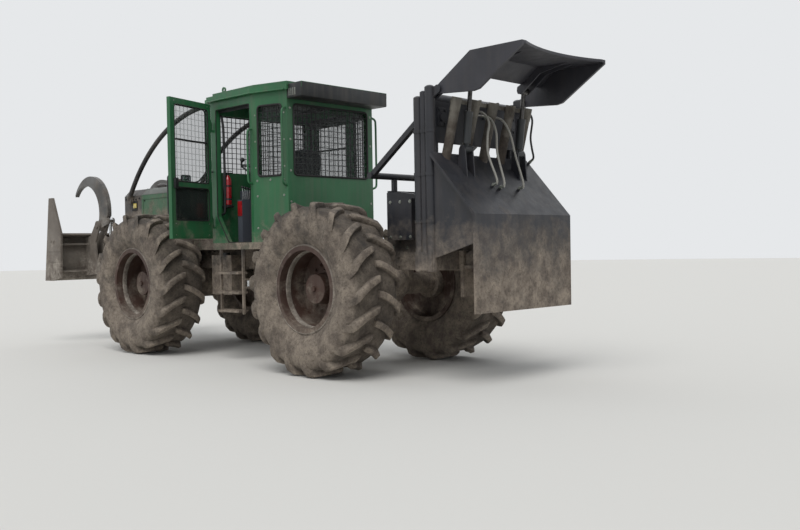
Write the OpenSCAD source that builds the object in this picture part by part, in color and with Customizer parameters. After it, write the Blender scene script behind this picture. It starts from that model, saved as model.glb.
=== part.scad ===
// Articulated log skidder: two frames hinged in the middle, caged cab and hood on the front frame,
// winch, post tower and folded-up log shield on the rear frame, blade with two log claws in front.
// Millimetres. +X is forward, +Y is the driver's left, Z is up from the ground.

/* [Layout] */
// Distance between the axles
wheelbase = 3450; // [3300:10:3700]
// Middle plane of each tyre from the machine's middle plane
tyre_y = 910; // [890:5:960]
// Opening angle of the left cab door as parked
door_rest_angle = 72; // [40:1:90]

/* [Wheels] */
// Radius over the lugs
tyre_r = 900; // [860:5:920]
// Width of the tyre over its shoulders
tyre_w = 620; // [560:5:640]
// Height of a lug above the carcass
lug_h = 55; // [30:1:70]
// Thickness of a lug along the tread
lug_t = 78; // [50:1:100]
// Lugs on each side of a tyre
lug_n = 18; // [14:1:20]
// Radius of the tyre's seat on the rim
rim_r = 420; // [400:5:440]
// Half width of the rim between its flanges
rim_half_w = 230; // [210:5:240]
// Thickness of the rim's barrel and disc
rim_t = 18; // [10:1:24]
// Inset of the disc towards the machine from the tyre's middle
disc_inset = 95; // [60:5:120]
// Radius of the planetary hub
hub_r = 165; // [140:5:190]
// Radius of the stub shaft on each hub
stub_r = 60; // [50:1:75]

/* [Axles] */
// Radius of an axle's tube
axle_tube_r = 120; // [100:5:130]
// Radius of the differential housing
diff_r = 215; // [180:5:235]

/* [Frames] */
// Middle of each frame rail from the middle plane
rail_y = 300; // [280:5:320]
// Width of a rail
rail_w = 80; // [60:5:90]
// Height of the rails' lower edge
rail_z = 1080; // [1060:5:1100]
// Depth of the front rails
front_rail_h = 240; // [220:5:260]
// Depth of the rear rails
rear_rail_h = 190; // [160:5:200]
// Thickness of the frame plates
plate_t = 40; // [30:1:50]
// Front end of the front rails from the steering pivot
front_rail_x = 3000; // [2960:10:3100]
// Rear end of the rear rails from the steering pivot
rear_rail_x = 3130; // [3100:10:3200]

/* [Steering pivot] */
// Radius of the pivot pin
pin_r = 45; // [35:1:60]
// Radius of the rear frame's pivot boss
boss_r = 140; // [120:5:150]
// Lower end of the rear frame's pivot boss
boss_z = 760; // [740:5:800]
// Height of the rear frame's pivot boss
boss_h = 370; // [340:5:380]

/* [Cab] */
// Half width of the cab at its doors
cab_half_w = 780; // [740:5:800]
// Half width of the cab at its rear wall
cab_rear_half_w = 660; // [640:5:700]
// Front wall of the cab from the pivot
cab_front_x = 430; // [400:5:450]
// Posts behind the doors from the pivot
cab_mid_x = -400; // [-420:5:-380]
// Rear wall of the cab from the pivot
cab_rear_x = -890; // [-900:5:-860]
// Thickness of the cab's walls
wall_t = 60; // [40:1:70]
// Thickness of the cab's floor
floor_t = 80; // [60:1:90]
// Height of the walls' upper edge
cab_top_z = 3100; // [3000:10:3150]
// Height of the rear floor over the wheels
rear_floor_z = 1450; // [1450:5:1480]
// Lower edge of the side and rear windows
window_z = 2150; // [2100:10:2250]
// Upper edge of the windows
window_top_z = 2950; // [2900:10:3000]
// Thickness of the roof
roof_t = 105; // [80:1:120]
// Roof overhang to the front
roof_front = 210; // [150:5:250]
// Roof overhang to the rear
roof_rear = 260; // [150:5:300]
// Pitch of the guard mesh
mesh_pitch = 66; // [50:1:90]
// Radius of the lifting eyes' holes
lifting_eye_r = 18; // [14:1:22]
// Thickness of a guard mesh bar
mesh_bar = 7; // [4:0.5:10]

/* [Doors] */
// Width of a door
door_w = 755; // [740:1:760]
// Thickness of a door
door_t = 45; // [35:1:50]
// Lower edge of a door
door_z = 1455; // [1440:5:1480]
// Upper edge of a door
door_top_z = 3065; // [3040:5:3080]
// Lower edge of the door's window
door_window_z = 2110; // [2050:5:2200]
// Width of the door's frame beside its window
door_stile = 70; // [50:1:90]

/* [Hood] */
// Half width of the hood
hood_half_w = 500; // [460:5:520]
// Height of the hood's top
hood_z = 2190; // [2150:5:2250]
// Rear end of the hood from the pivot
hood_x = 460; // [450:5:520]
// Front end of the green hood from the pivot
nose_x = 2585; // [2500:5:2620]
// Front end of the radiator nose from the pivot
nose_front_x = 3050; // [3010:5:3060]
// Thickness of the hood's plates
hood_t = 25; // [15:1:30]
// Radius of the limb risers' tube
riser_r = 32; // [25:1:40]
// Radius of the arc that the limb risers follow
riser_arc_r = 2440; // [2300:10:2600]

/* [Blade] */
// Height of the lower arms' pins
arm_pin_z = 800; // [780:5:820]
// Height of the upper links' pins above the lower ones
link_rise = 360; // [340:5:380]
// Pins of the arms and links from the steering pivot
arm_pin_x = 2900; // [2880:5:2920]
// Length of the arms and links between pins
arm_len = 950; // [900:5:980]
// Angle of the arms as parked
arm_angle = 26; // [20:1:28]
// Half width of the blade
blade_half_w = 1170; // [1000:5:1200]
// Lower edge of the blade as parked
blade_z = 905; // [890:5:940]
// Height of the blade's plate
blade_h = 650; // [500:10:700]
// Radius of the blade's curve
blade_r = 900; // [700:10:1200]
// Thickness of the blade's plate
blade_t = 32; // [20:1:40]
// Front reach of the blade's cheeks from the pivot
blade_front_x = 4215; // [4150:5:4260]
// Top of the blade's cheeks
cheek_z = 2110; // [2000:10:2200]

/* [Claws] */
// Middle plane of each claw
claw_y = 600; // [560:5:640]
// Thickness of a claw
claw_t = 60; // [40:1:80]
// Claw pin from the steering pivot
claw_x = 3560; // [3540:5:3600]
// Height of the claw pin
claw_z = 1700; // [1690:5:1740]
// Outer radius of the claw's curve
claw_r = 535; // [450:5:600]

/* [Rear tower] */
// Middle of the rearmost tower post from the steering pivot
tower_x = 3080; // [3060:5:3110]
// Middle of each row of tower posts from the middle plane
post_y = 690; // [670:5:720]
// Radius of the rearmost and thickest tower post
post_r = 50; // [40:1:60]
// Top of the rearmost tower post
post_top_z = 2830; // [2750:10:2900]
// Half width of the butt plate
butt_half_w = 760; // [740:5:800]
// How far the butt plate's top lies under the posts' top
butt_drop = 620; // [560:10:680]
// Distance that the butt plate's fold lies behind the posts
butt_depth = 590; // [540:10:640]
// Lower edge of the butt plate
butt_low_z = 700; // [600:10:900]
// Thickness of the butt plate
butt_t = 25; // [15:1:35]
// Radius of the guide tubes
tube_r = 50; // [40:1:52]
// Lean of the guide tubes
tube_lean = 15; // [10:1:17]
// Distance between two guide tubes
tube_pitch = 277; // [260:1:285]

/* [Log shield] */
// Half width of the shield over its cheeks
shield_half_w = 672; // [660:2:690]
// Reach of the folded shield from its hinge to its lip
shield_reach = 980; // [900:10:1020]
// Reach of the folded shield from its hinge to its bend
shield_bend = 400; // [360:10:440]
// Rise of the folded shield above its hinge
shield_rise = 300; // [260:10:320]
// Thickness of the shield's plate
shield_t = 25; // [15:1:30]
// Thickness of the shield's cheeks
cheek_t = 30; // [20:1:36]
// Depth of the hollow in the shield's lip
lip_hollow = 110; // [60:5:150]
// Radius of a shield cylinder's barrel
shield_cyl_r = 40; // [34:1:42]

/* [Winch] */
// Radius of the winch drum's flanges
drum_r = 230; // [200:5:250]
// Half width of the winch drum
drum_half_w = 250; // [200:5:270]
// Radius of the winch drum's shaft
drum_shaft_r = 50; // [40:1:60]

/* [Hidden] */
$fn = 48;

// Running clearance of pins, free clearance of moving pieces, seating clearance of fixed ones
pin_gap = 0.3;
free_gap = 8;
seat_gap = 0.3;
// Gap between an eye and the plates beside it
eye_gap = 2;
// How far a cutting body runs past the piece that it cuts
past = 20;

axle_z = tyre_r;
front_x = wheelbase / 2;
rear_x = -wheelbase / 2;
tyre_half_w = tyre_w / 2;
carcass_r = tyre_r - lug_h;
rail_in = rail_y - rail_w / 2;
rail_out = rail_y + rail_w / 2;
front_rail_top = rail_z + front_rail_h;
rear_rail_top = rail_z + rear_rail_h;
hub_face_y = tyre_y - disc_inset - rim_t / 2;
axle_end_y = hub_face_y - free_gap;
stub_len = 130;
web_x = 200;
web_in = 330;
neck_x = 620;
head_t = 40;
hinge_gap = free_gap;

// Door hinge line, the same on both sides
door_hinge_x = cab_front_x - 40;
door_in_y = cab_half_w + free_gap;
door_hinge_y = door_in_y + door_t / 2;
door_open_l = 330;
door_open_r = -350;

// Places of the blade's linkage as parked
arm_dx = arm_len * cos(arm_angle);
arm_dz = arm_len * sin(arm_angle);
link_pin_z = arm_pin_z + link_rise;
blade_pin_x = arm_pin_x + arm_dx;
blade_pin_z = arm_pin_z + arm_dz;
lift_eye_r = 500;
lift_base = [2650, 1230];
lift_eye = [arm_pin_x + lift_eye_r * cos(arm_angle), arm_pin_z + lift_eye_r * sin(arm_angle)];
lift_y = 100;
lift_r = 42;
lift_half_w = 35;
arm_pin_r = 30;
link_pin_r = 25;
arm_t = 60;
link_t = 40;
engine_z = rail_z + 60;
claw_cyl_r = 40;
claw_eye_half_w = 28;
claw_pin_r = 25;
claw_eye = [claw_x - 268, claw_z + 64];
claw_base = [3330, 1060];
shield_hinge = [-tower_x - 95, post_top_z - 30];
shield_eye_dx = -186;
shield_eye_dz = 74;
shield_eye = [shield_hinge[0] + shield_eye_dx, shield_hinge[1] + shield_eye_dz];
shield_base_dx = -115;
shield_base_z = post_top_z - butt_drop + 35;
butt_fold_z = post_top_z - butt_drop - butt_depth - 10;
shield_base = [shield_hinge[0] + shield_base_dx, shield_base_z];
shield_cyl_y = 1.5 * tube_pitch;
shield_eye_half_w = 46;
shield_pin_r = 20;
beam_back = -tower_x - 15;
butt_gusset_y = post_y - 12;
winch_front_x = -2110;
winch_front_h = 640;
winch_x = -2500;
winch_z = rear_rail_top + 330;
door_max = 95;
lifting_eye = [cab_front_x - 90, cab_top_z + roof_t + 53];
lifting_eye_y = cab_half_w - 140;
lifting_eye_t = 16;
claw_tip_x = claw_x + 745;
steer_y = 400;
steer_base_x = -800;
steer_eye_x = 230;
steer_z = 900;
steer_r = 42;
steer_half_h = 35;

// The whole machine is set so that its middle stands over the origin
rear_reach = -shield_hinge[0] + shield_reach;
middle_x = (rear_reach - max(blade_front_x, claw_tip_x)) / 2;
door_reach = door_hinge_y + door_w * sin(door_rest_angle);
middle_y = (tyre_y + tyre_half_w - door_reach) / 2;

green = [0.09, 0.36, 0.22];
dark_green = [0.07, 0.22, 0.15];
mud = [0.42, 0.39, 0.35];
iron = [0.20, 0.20, 0.22];
black = [0.08, 0.08, 0.09];
steel = [0.66, 0.66, 0.64];
glass = [0.55, 0.65, 0.68, 0.4];

// A shape and its mirror image across the middle plane
module both() {
    children();
    mirror([0, 1, 0]) children();
}

// A profile drawn in X and Z, thick towards +Y from y0 to y1
module side(y0, y1) {
    translate([0, y1, 0]) rotate([90, 0, 0]) linear_extrude(y1 - y0) children();
}

// A round bar along Y at [x, z]
module bar_y(p, r, y0, y1) {
    translate([p[0], y0, p[1]]) rotate([-90, 0, 0]) cylinder(r = r, h = y1 - y0);
}

// A box from its two corners
module block(a, b) {
    translate(a) cube(b - a);
}

function turn(p, a) = [p[0] * cos(a) - p[1] * sin(a), p[0] * sin(a) + p[1] * cos(a)];
function heading(a, b) = atan2(b[1] - a[1], b[0] - a[0]);
function pin_of(r) = r * 0.45;
function rod_of(r) = r * 0.55;

// A flat link in X and Z from a to b, of the given width, with round ends
module link2d(a, b, w) {
    translate(a) circle(r = w / 2);
    translate(b) circle(r = w / 2);
    translate(a) rotate(heading(a, b)) translate([0, -w / 2]) square([norm(b - a), w]);
}

// Cylinder in X and Z between two pins: the barrel with its eye at a
module barrel(a, b, y, r, len, eye_w) {
    start = r * 1.25;
    translate([a[0], y, a[1]]) rotate([0, -heading(a, b), 0]) difference() {
        union() {
            rotate([90, 0, 0]) cylinder(r = r * 0.95, h = eye_w, center = true);
            rotate([0, 90, 0]) cylinder(r = r * 0.6, h = start + 1);
            translate([start, 0, 0]) rotate([0, 90, 0]) cylinder(r = r, h = len - start);
            // gland at the barrel's end
            translate([len - 45, 0, 0]) rotate([0, 90, 0]) cylinder(r = r * 1.08, h = 45);
        }
        rotate([90, 0, 0]) cylinder(r = pin_of(r) + pin_gap, h = eye_w + past, center = true);
        translate([r * 2, 0, 0]) rotate([0, 90, 0]) cylinder(r = rod_of(r) + pin_gap, h = len);
    }
}

// The rod of that cylinder with its eye and captive pin at b
module rod(a, b, y, r, tail, eye_w) {
    translate([b[0], y, b[1]]) rotate([0, -heading(a, b), 0]) {
        rotate([90, 0, 0]) cylinder(r = r * 0.9, h = eye_w, center = true);
        translate([-tail, 0, 0]) rotate([0, 90, 0]) cylinder(r = rod_of(r), h = tail);
    }
}

// Tyre standing on its tread at the origin of its axle; the lugs' inner ends lead when it rolls to +X
module tyre() {
    bead_r = rim_r + seat_gap;
    flange_r = rim_r + 42;
    color(black) union() {
        rotate([90, 0, 0]) rotate_extrude($fn = 64) polygon([
            [bead_r, -rim_half_w], [flange_r, -rim_half_w], [carcass_r - 270, -tyre_half_w + 12],
            [carcass_r - 150, -tyre_half_w + 4], [carcass_r - 50, -tyre_half_w + 24],
            [carcass_r, -tyre_half_w + 90], [carcass_r, tyre_half_w - 90],
            [carcass_r - 50, tyre_half_w - 24], [carcass_r - 150, tyre_half_w - 4],
            [carcass_r - 270, tyre_half_w - 12], [flange_r, rim_half_w], [bead_r, rim_half_w]
        ]);
        intersection() {
            union() for (i = [0 : lug_n - 1], s = [-1, 1])
                rotate([0, (i + (s > 0 ? 0.5 : 0)) * 360 / lug_n, 0])
                    translate([0, 0, carcass_r - 75]) linear_extrude(lug_h + 90) polygon([
                        [115, -s * 12], [115 - lug_t, -s * 12],
                        [-130 - lug_t / 2, s * tyre_half_w], [-130 + lug_t / 2, s * tyre_half_w]
                    ]);
            rotate([90, 0, 0]) cylinder(r = tyre_r, h = tyre_w + past, center = true, $fn = 64);
        }
    }
}

// Wheel on the +Y side at the origin of its axle
module rim() {
    disc_y = -disc_inset;
    flange_t = 16;
    color(mud) difference() {
        union() {
            rotate([-90, 0, 0]) rotate_extrude() {
                translate([rim_r - rim_t, -rim_half_w]) square([rim_t, 2 * rim_half_w]);
                for (s = [-1, 1]) translate([rim_r - rim_t, s * (rim_half_w + flange_t / 2) - flange_t / 2])
                    square([rim_t + 34, flange_t]);
                translate([0, disc_y - rim_t / 2]) square([rim_r - rim_t / 2, rim_t]);
                polygon([[0, disc_y], [hub_r + 45, disc_y], [hub_r + 30, disc_y + 55],
                    [hub_r, disc_y + 60], [hub_r - 15, disc_y + 190], [0, disc_y + 200]]);
                translate([0, disc_y - stub_len]) square([stub_r, stub_len]);
            }
        }
    }
}

// Axle housing with its bored ends and saddle blocks under the rails
module axle(x) {
    color(mud) difference() {
        union() {
            bar_y([x, axle_z], axle_tube_r, -axle_end_y + 90, axle_end_y - 90);
            translate([x, 0, axle_z]) rotate([90, 0, 0]) rotate_extrude() polygon([
                [0, -300], [axle_tube_r, -300], [diff_r, -130], [diff_r, 130], [axle_tube_r, 300], [0, 300]
            ]);
            both() bar_y([x, axle_z], 175, axle_end_y - 90, axle_end_y);
            both() block([x - 130, rail_in, axle_z], [x + 130, rail_out, rail_z]);
        }
        both() bar_y([x, axle_z], stub_r + pin_gap, axle_end_y - stub_len, axle_end_y + past);
    }
}

module at_wheel(x, s) {
    translate([x, s * tyre_y, axle_z]) mirror([0, s > 0 ? 0 : 1, 0]) children();
}

module rear_axle() axle(rear_x);
module front_axle() axle(front_x);

// Rails, neck and pivot boss of the rear frame
module rear_frame() {
    color(iron) {
        difference() {
            union() {
                both() block([-rear_rail_x, rail_in, rail_z], [-neck_x, rail_out, rear_rail_top]);
                block([-neck_x - plate_t, -rail_in, boss_z], [-neck_x, rail_in, rear_rail_top]);
                block([-neck_x - plate_t, -rail_out, rail_z], [-neck_x, rail_out, rear_rail_top]);
                block([-neck_x, -boss_r, boss_z], [0, boss_r, boss_z + boss_h]);
                translate([0, 0, boss_z]) cylinder(r = boss_r, h = boss_h);
                // cross members before and behind the axle, and the rear end plate
                for (x = [rear_x + 420, rear_x - 460])
                    block([x - 60, -rail_in, rail_z], [x + 60, rail_in, rear_rail_top]);
                block([-rear_rail_x - plate_t, -rail_out, butt_low_z + 120], [-rear_rail_x, rail_out, rear_rail_top]);
                // brackets of the steering cylinders, above and below their eyes
                for (z = [steer_z + steer_half_h + eye_gap, steer_z - steer_half_h - eye_gap - 25]) both()
                    block([steer_base_x - 70, boss_r - 20, z], [steer_base_x + 48, steer_y + 48, z + 25]);
                both() block([steer_base_x - 70, boss_r, boss_z], [steer_base_x - 52, steer_y + 48, rail_z]);
                block([steer_base_x - 70, -boss_r, boss_z], [-neck_x, boss_r, rail_z]);
            }
            translate([0, 0, boss_z - past]) cylinder(r = pin_r + pin_gap, h = boss_h + 2 * past);
        }
        // pins of the steering cylinders
        both() translate([steer_base_x, steer_y, steer_z - 70]) cylinder(r = pin_of(steer_r), h = 140);
    }
}

// Rails, head and pivot plates of the front frame
module front_frame() {
    low = boss_z - free_gap - head_t;
    top = boss_z + boss_h + free_gap;
    color(iron) {
        both() block([web_in, rail_in, rail_z], [front_rail_x, rail_out, front_rail_top]);
        block([web_x, -rail_in, low], [web_in, rail_in, front_rail_top]);
        both() block([web_x, rail_in, rail_z], [web_in, rail_out, front_rail_top]);
        for (z = [low, top]) translate([0, 0, z]) linear_extrude(head_t) union() {
            circle(r = boss_r);
            translate([0, -boss_r]) square([web_x, 2 * boss_r]);
        }
        translate([0, 0, low - 15]) cylinder(r = pin_r, h = top + head_t + 30 - low);
        // steering lugs above and below the rods' eyes
        for (z = [steer_z + steer_half_h + eye_gap, steer_z - steer_half_h - eye_gap - 25]) both()
            translate([0, 0, z]) linear_extrude(25) union() {
                translate([steer_eye_x, steer_y]) circle(r = 55);
                translate([web_x + 2, rail_in - past]) square([80, steer_y - rail_in + past]);
            }
        // cross members under the engine and behind the nose
        for (x = [1250, 2200]) block([x - 60, -rail_in, rail_z], [x + 60, rail_in, engine_z]);
        block([2560, -rail_in, 1180], [2600, rail_in, front_rail_top]);
        block([front_rail_x - 100, -rail_in, front_rail_top - 45], [front_rail_x, rail_in, front_rail_top]);
        // hangers of the blade's arms, their cross tube and pins
        both() side(rail_in, rail_out) union() {
            translate([arm_pin_x, arm_pin_z]) circle(r = 80);
            translate([arm_pin_x - 80, arm_pin_z]) square([160, rail_z - arm_pin_z]);
        }
        bar_y([arm_pin_x, arm_pin_z], 35, -rail_in, rail_in);
        both() bar_y([arm_pin_x, arm_pin_z], arm_pin_r, rail_out, rail_out + free_gap + arm_t + 12);
        both() bar_y([arm_pin_x, link_pin_z], link_pin_r, rail_in - free_gap - link_t - 10, rail_in);
        // ears and pins of the lift cylinders
        for (s = [-1, 1], e = [-1, 1])
            translate([0, s * lift_y + e * (lift_half_w + eye_gap + 10), 0]) side(-10, 10)
                link2d([lift_base[0] - 60, lift_base[1]], lift_base, 84);
        for (s = [-1, 1]) bar_y(lift_base, pin_of(lift_r), s * lift_y - lift_half_w - 20, s * lift_y + lift_half_w + 20);
    }
}

// Engine and gearbox as one plain block on the frame's cross members
module engine() {
    color(iron) block([900, -rail_in + 20, engine_z], [2350, rail_in - 20, 2000]);
}

// Fuel tank and the hanging ladder under the left door, with the same on the right
module steps_tank() {
    sill_z = front_rail_top;
    color(mud) both() {
        block([375, rail_out, 760], [795, 560, 1250]);
        for (x = [-190, 250]) block([x, 770, 560], [x + 22, 800, sill_z]);
        for (z = [580, 800, 1030]) block([-168, 720, z], [250, 850, z + 25]);
    }
}

// Plan of the cab, drawn in by d all round
module cab_plan(d = 0) {
    polygon([
        [cab_front_x - d, -cab_half_w + d], [cab_front_x - d, cab_half_w - d],
        [cab_mid_x - d * 0.1, cab_half_w - d],
        [cab_rear_x + d, cab_rear_half_w - d], [cab_rear_x + d, -cab_rear_half_w + d],
        [cab_mid_x - d * 0.1, -cab_half_w + d]
    ]);
}

// Heading of the slanted side walls and the length of one
slant = atan2(cab_half_w - cab_rear_half_w, cab_mid_x - cab_rear_x);
slant_len = norm([cab_mid_x - cab_rear_x, cab_half_w - cab_rear_half_w]);

// Puts a piece drawn along X onto the outer face of the slanted left wall, X from its rear corner
module on_slant() {
    translate([cab_rear_x, cab_rear_half_w, 0]) rotate([0, 0, slant]) children();
}

arch_x = -600;

module cab_floor() {
    color(dark_green) {
        translate([0, 0, front_rail_top]) linear_extrude(floor_t) intersection() {
            cab_plan();
            translate([arch_x, -1000]) square([2000, 2000]);
        }
        block([arch_x - 30, -cab_rear_half_w + 20, rear_floor_z - 80], [arch_x, cab_rear_half_w - 20, rear_floor_z]);
        translate([0, 0, rear_floor_z]) linear_extrude(40) intersection() {
            cab_plan(wall_t + seat_gap);
            translate([cab_rear_x, -1000]) square([arch_x - cab_rear_x, 2000]);
        }
    }
}

module cab_walls() {
    sill = front_rail_top + floor_t;
    color(green) difference() {
        union() {
            translate([0, 0, sill]) linear_extrude(cab_top_z - sill) difference() {
                cab_plan();
                cab_plan(wall_t);
            }
            both() door_pins();
        }
        // wheel arch under the rear floor
        block([cab_rear_x - past, -1000, sill - past], [arch_x, 1000, rear_floor_z]);
        // door openings with the slanted lower front corner
        both() side(cab_half_w - wall_t - past, cab_half_w + past) polygon([
            [door_open_r, sill], [door_open_r + 460, sill], [door_open_l, sill + 320],
            [door_open_l, 3000], [door_open_r, 3000]
        ]);
        // slanted side windows
        both() on_slant() block([80, -wall_t - past, window_z], [slant_len - 80, past, window_top_z]);
        // rear window and windscreen
        block([cab_rear_x - past, -cab_rear_half_w + 90, window_z],
            [cab_rear_x + wall_t + past, cab_rear_half_w - 90, window_top_z]);
        block([cab_front_x - wall_t - past, -cab_half_w + 100, hood_z + 60],
            [cab_front_x + past, cab_half_w - 100, window_top_z]);
    }
}

module cab_roof() {
    color(green) {
        translate([0, 0, cab_top_z]) linear_extrude(roof_t * 0.6) union() {
            offset(delta = 35) cab_plan();
            translate([cab_front_x, -cab_half_w + 60]) square([roof_front, 2 * cab_half_w - 120]);
            translate([cab_rear_x - roof_rear, -cab_rear_half_w]) square([roof_rear, 2 * cab_rear_half_w]);
        }
        translate([0, 0, cab_top_z + roof_t * 0.6]) linear_extrude(roof_t * 0.4) cab_plan(20);
        // air housing under the rear overhang, with slots in its sides
        difference() {
            block([cab_rear_x - roof_rear + 15, -cab_rear_half_w + 15, cab_top_z - 95],
                [cab_rear_x - 5, cab_rear_half_w - 15, cab_top_z + 5]);
            both() for (i = [0 : 3]) block([cab_rear_x - 60 - i * 34, cab_rear_half_w - 50, cab_top_z - 75],
                [cab_rear_x - 42 - i * 34, cab_rear_half_w, cab_top_z - 20]);
        }
        // lifting eyes
        both() side(lifting_eye_y - lifting_eye_t / 2, lifting_eye_y + lifting_eye_t / 2) difference() {
            union() {
                translate(lifting_eye) circle(r = 2 * lifting_eye_r);
                translate([lifting_eye[0] - 60, cab_top_z + roof_t - 5]) square([120, 30]);
                translate([lifting_eye[0] - 30, cab_top_z + roof_t - 5]) square([60, 40]);
            }
            translate(lifting_eye) circle(r = lifting_eye_r);
        }
    }
}

// Panes let into the window openings
module cab_windows() {
    g = seat_gap;
    color(glass) {
        both() on_slant() block([80 + g, -wall_t / 2 - 4, window_z + g], [slant_len - 80 - g, -wall_t / 2 + 4, window_top_z - g]);
        block([cab_rear_x + wall_t / 2 - 4, -cab_rear_half_w + 90 + g, window_z + g],
            [cab_rear_x + wall_t / 2 + 4, cab_rear_half_w - 90 - g, window_top_z - g]);
        block([cab_front_x - wall_t / 2 - 4, -cab_half_w + 100 + g, hood_z + 60 + g],
            [cab_front_x - wall_t / 2 + 4, cab_half_w - 100 - g, window_top_z - g]);
    }
}

// Welded guard mesh, w by h, drawn from its corner in X and Y
module guard2d(w, h) {
    nx = round(w / mesh_pitch);
    ny = round(h / mesh_pitch);
    px = (w - mesh_bar) / nx;
    py = (h - mesh_bar) / ny;
    difference() {
        square([w, h]);
        for (i = [0 : nx - 1], j = [0 : ny - 1])
            translate([mesh_bar + i * px, mesh_bar + j * py]) square([px - mesh_bar, py - mesh_bar]);
    }
}

module guard(w, h) {
    rotate([90, 0, 0]) linear_extrude(mesh_bar, center = true) guard2d(w, h);
}

module cab_guards() {
    g = seat_gap;
    h = window_top_z - window_z - 2 * g;
    color(black) {
        both() on_slant() translate([80 + g, -8, window_z + g]) guard(slant_len - 160 - 2 * g, h);
        translate([cab_rear_x + 8, -cab_rear_half_w + 90 + g, window_z + g]) rotate([0, 0, 90])
            guard(2 * (cab_rear_half_w - 90 - g), h);
        translate([cab_front_x - 8, -cab_half_w + 100 + g, hood_z + 60 + g]) rotate([0, 0, 90])
            guard(2 * (cab_half_w - 100 - g), window_top_z - hood_z - 60 - 2 * g);
    }
}

module seat() {
    z = front_rail_top + floor_t;
    color(black) {
        block([-330, -200, z], [-30, 200, z + 380]);
        block([-380, -250, z + 380], [90, 250, z + 500]);
        translate([-380, 0, z + 500]) rotate([0, -10, 0]) block([0, -240, 0], [110, 240, 620]);
    }
}

module console() {
    z = front_rail_top + floor_t;
    color(iron) {
        block([195, -420, z], [cab_front_x - wall_t - 10, 420, z + 640]);
        block([100, 430, z], [190, 580, z + 520]);
    }
}

module steering_wheel() {
    z = front_rail_top + floor_t + 640;
    color(black) translate([225, 0, z]) rotate([0, -25, 0]) {
        translate([0, 0, 11]) cylinder(r = 22, h = 109);
        translate([0, 0, 120]) rotate_extrude() translate([168, 0]) circle(r = 14, $fn = 16);
        translate([0, 0, 112]) for (a = [0, 120, 240]) rotate([0, 0, a]) block([0, -14, 0], [168, 14, 14]);
    }
}

// Hood outline across the machine, drawn in by d
module hood_section(d = 0) {
    e = 90;
    polygon([
        [-hood_half_w + d, front_rail_top], [-hood_half_w + d, hood_z - e], [-hood_half_w + e, hood_z - d],
        [hood_half_w - e, hood_z - d], [hood_half_w - d, hood_z - e], [hood_half_w - d, front_rail_top]
    ]);
}

module along_x(x0, x1) {
    translate([x0, 0, 0]) rotate([90, 0, 90]) linear_extrude(x1 - x0) children();
}

module hood() {
    // air pre-cleaner on the hood's top
    color(black) translate([2400, 270, hood_z - 5]) rotate_extrude() union() {
        square([58, 30]);
        translate([0, 25]) square([84, 22]);
        translate([0, 46]) intersection() {
            translate([0, -70]) circle(r = 105);
            square([84, 40]);
        }
    }
    color(green) difference() {
        along_x(hood_x, nose_x) hood_section();
        along_x(hood_x + hood_t, nose_x - hood_t) intersection() {
            hood_section(hood_t);
            translate([-1000, front_rail_top - 10]) square([2000, 2000]);
        }
        // louvres beside the engine
        both() for (i = [0 : 5]) block([1000 + i * 90, hood_half_w - hood_t - past, 1930],
            [1050 + i * 90, hood_half_w + past, 1990]);
    }
}

// Radiator nose with its barred front
module nose() {
    bars = 11;
    open_w = 2 * hood_half_w - 160;
    color(mud) difference() {
        along_x(nose_x, nose_front_x) hood_section();
        along_x(nose_x + hood_t, nose_front_x - hood_t) intersection() {
            hood_section(hood_t);
            translate([-1000, front_rail_top - 10]) square([2000, 2000]);
        }
        for (i = [0 : bars - 1]) block([nose_front_x - hood_t - past, -open_w / 2 + i * open_w / bars + 12, 1420],
            [nose_front_x + past, -open_w / 2 + (i + 1) * open_w / bars - 12, 2060]);
        // round lamp recesses in the sides
        both() bar_y([nose_x + 180, 1960], 60, hood_half_w - hood_t / 2, hood_half_w + past);
    }
}

// Limb risers: bent tubes from feet on the nose's sides up to the roof's front edge
module limb_risers() {
    y = hood_half_w + riser_r + 8;
    from = [nose_front_x - 300, hood_z];
    head = [cab_front_x + roof_front, cab_top_z + 35];
    d = norm(head - from);
    away = turn((head - from) / d, -90);
    c = (head + from) / 2 - away * sqrt(riser_arc_r * riser_arc_r - d * d / 4);
    foot_z = hood_z - 140;
    a0 = asin((foot_z - c[1]) / riser_arc_r);
    a1 = heading(c, head) + 1;
    foot_x = c[0] + riser_arc_r * cos(a0);
    color(black) both() {
        difference() {
            translate([c[0], y, c[1]]) rotate([90, 0, 0]) rotate([0, 0, a0])
                rotate_extrude(angle = a1 - a0) translate([riser_arc_r, 0]) circle(r = riser_r, $fn = 16);
            block([head[0] - 400, y - 100, head[1] - 200], [head[0] + seat_gap, y + 100, head[1] + 200]);
        }
        block([foot_x - 55, hood_half_w, foot_z - 60], [foot_x + 45, y + 10, foot_z + 40]);
    }
}

// A door drawn closed on the left side, its hinge at its front edge
module door_panel() {
    color(green) {
        difference() {
            union() {
                block([door_hinge_x - door_w, door_in_y, door_z], [door_hinge_x - 25, door_in_y + door_t, door_top_z]);
            }
            block([door_hinge_x - door_w + door_stile, door_in_y - past, door_window_z],
                [door_hinge_x - door_stile - 10, door_in_y + door_t + past, door_top_z - door_stile]);
            block([door_hinge_x - door_w + door_stile, door_in_y - past, door_z + 210],
                [door_hinge_x - door_stile - 10, door_in_y + door_t + past, door_window_z - 60]);
        }
        for (z = [door_z + 150, door_top_z - 300]) difference() {
            translate([door_hinge_x, door_hinge_y, z]) {
                cylinder(r = 18, h = 90);
                block([-30, -12, 0], [0, 12, 90]);
            }
            translate([door_hinge_x, door_hinge_y, z - past]) cylinder(r = 8 + pin_gap, h = 130);
        }
    }
}

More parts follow.
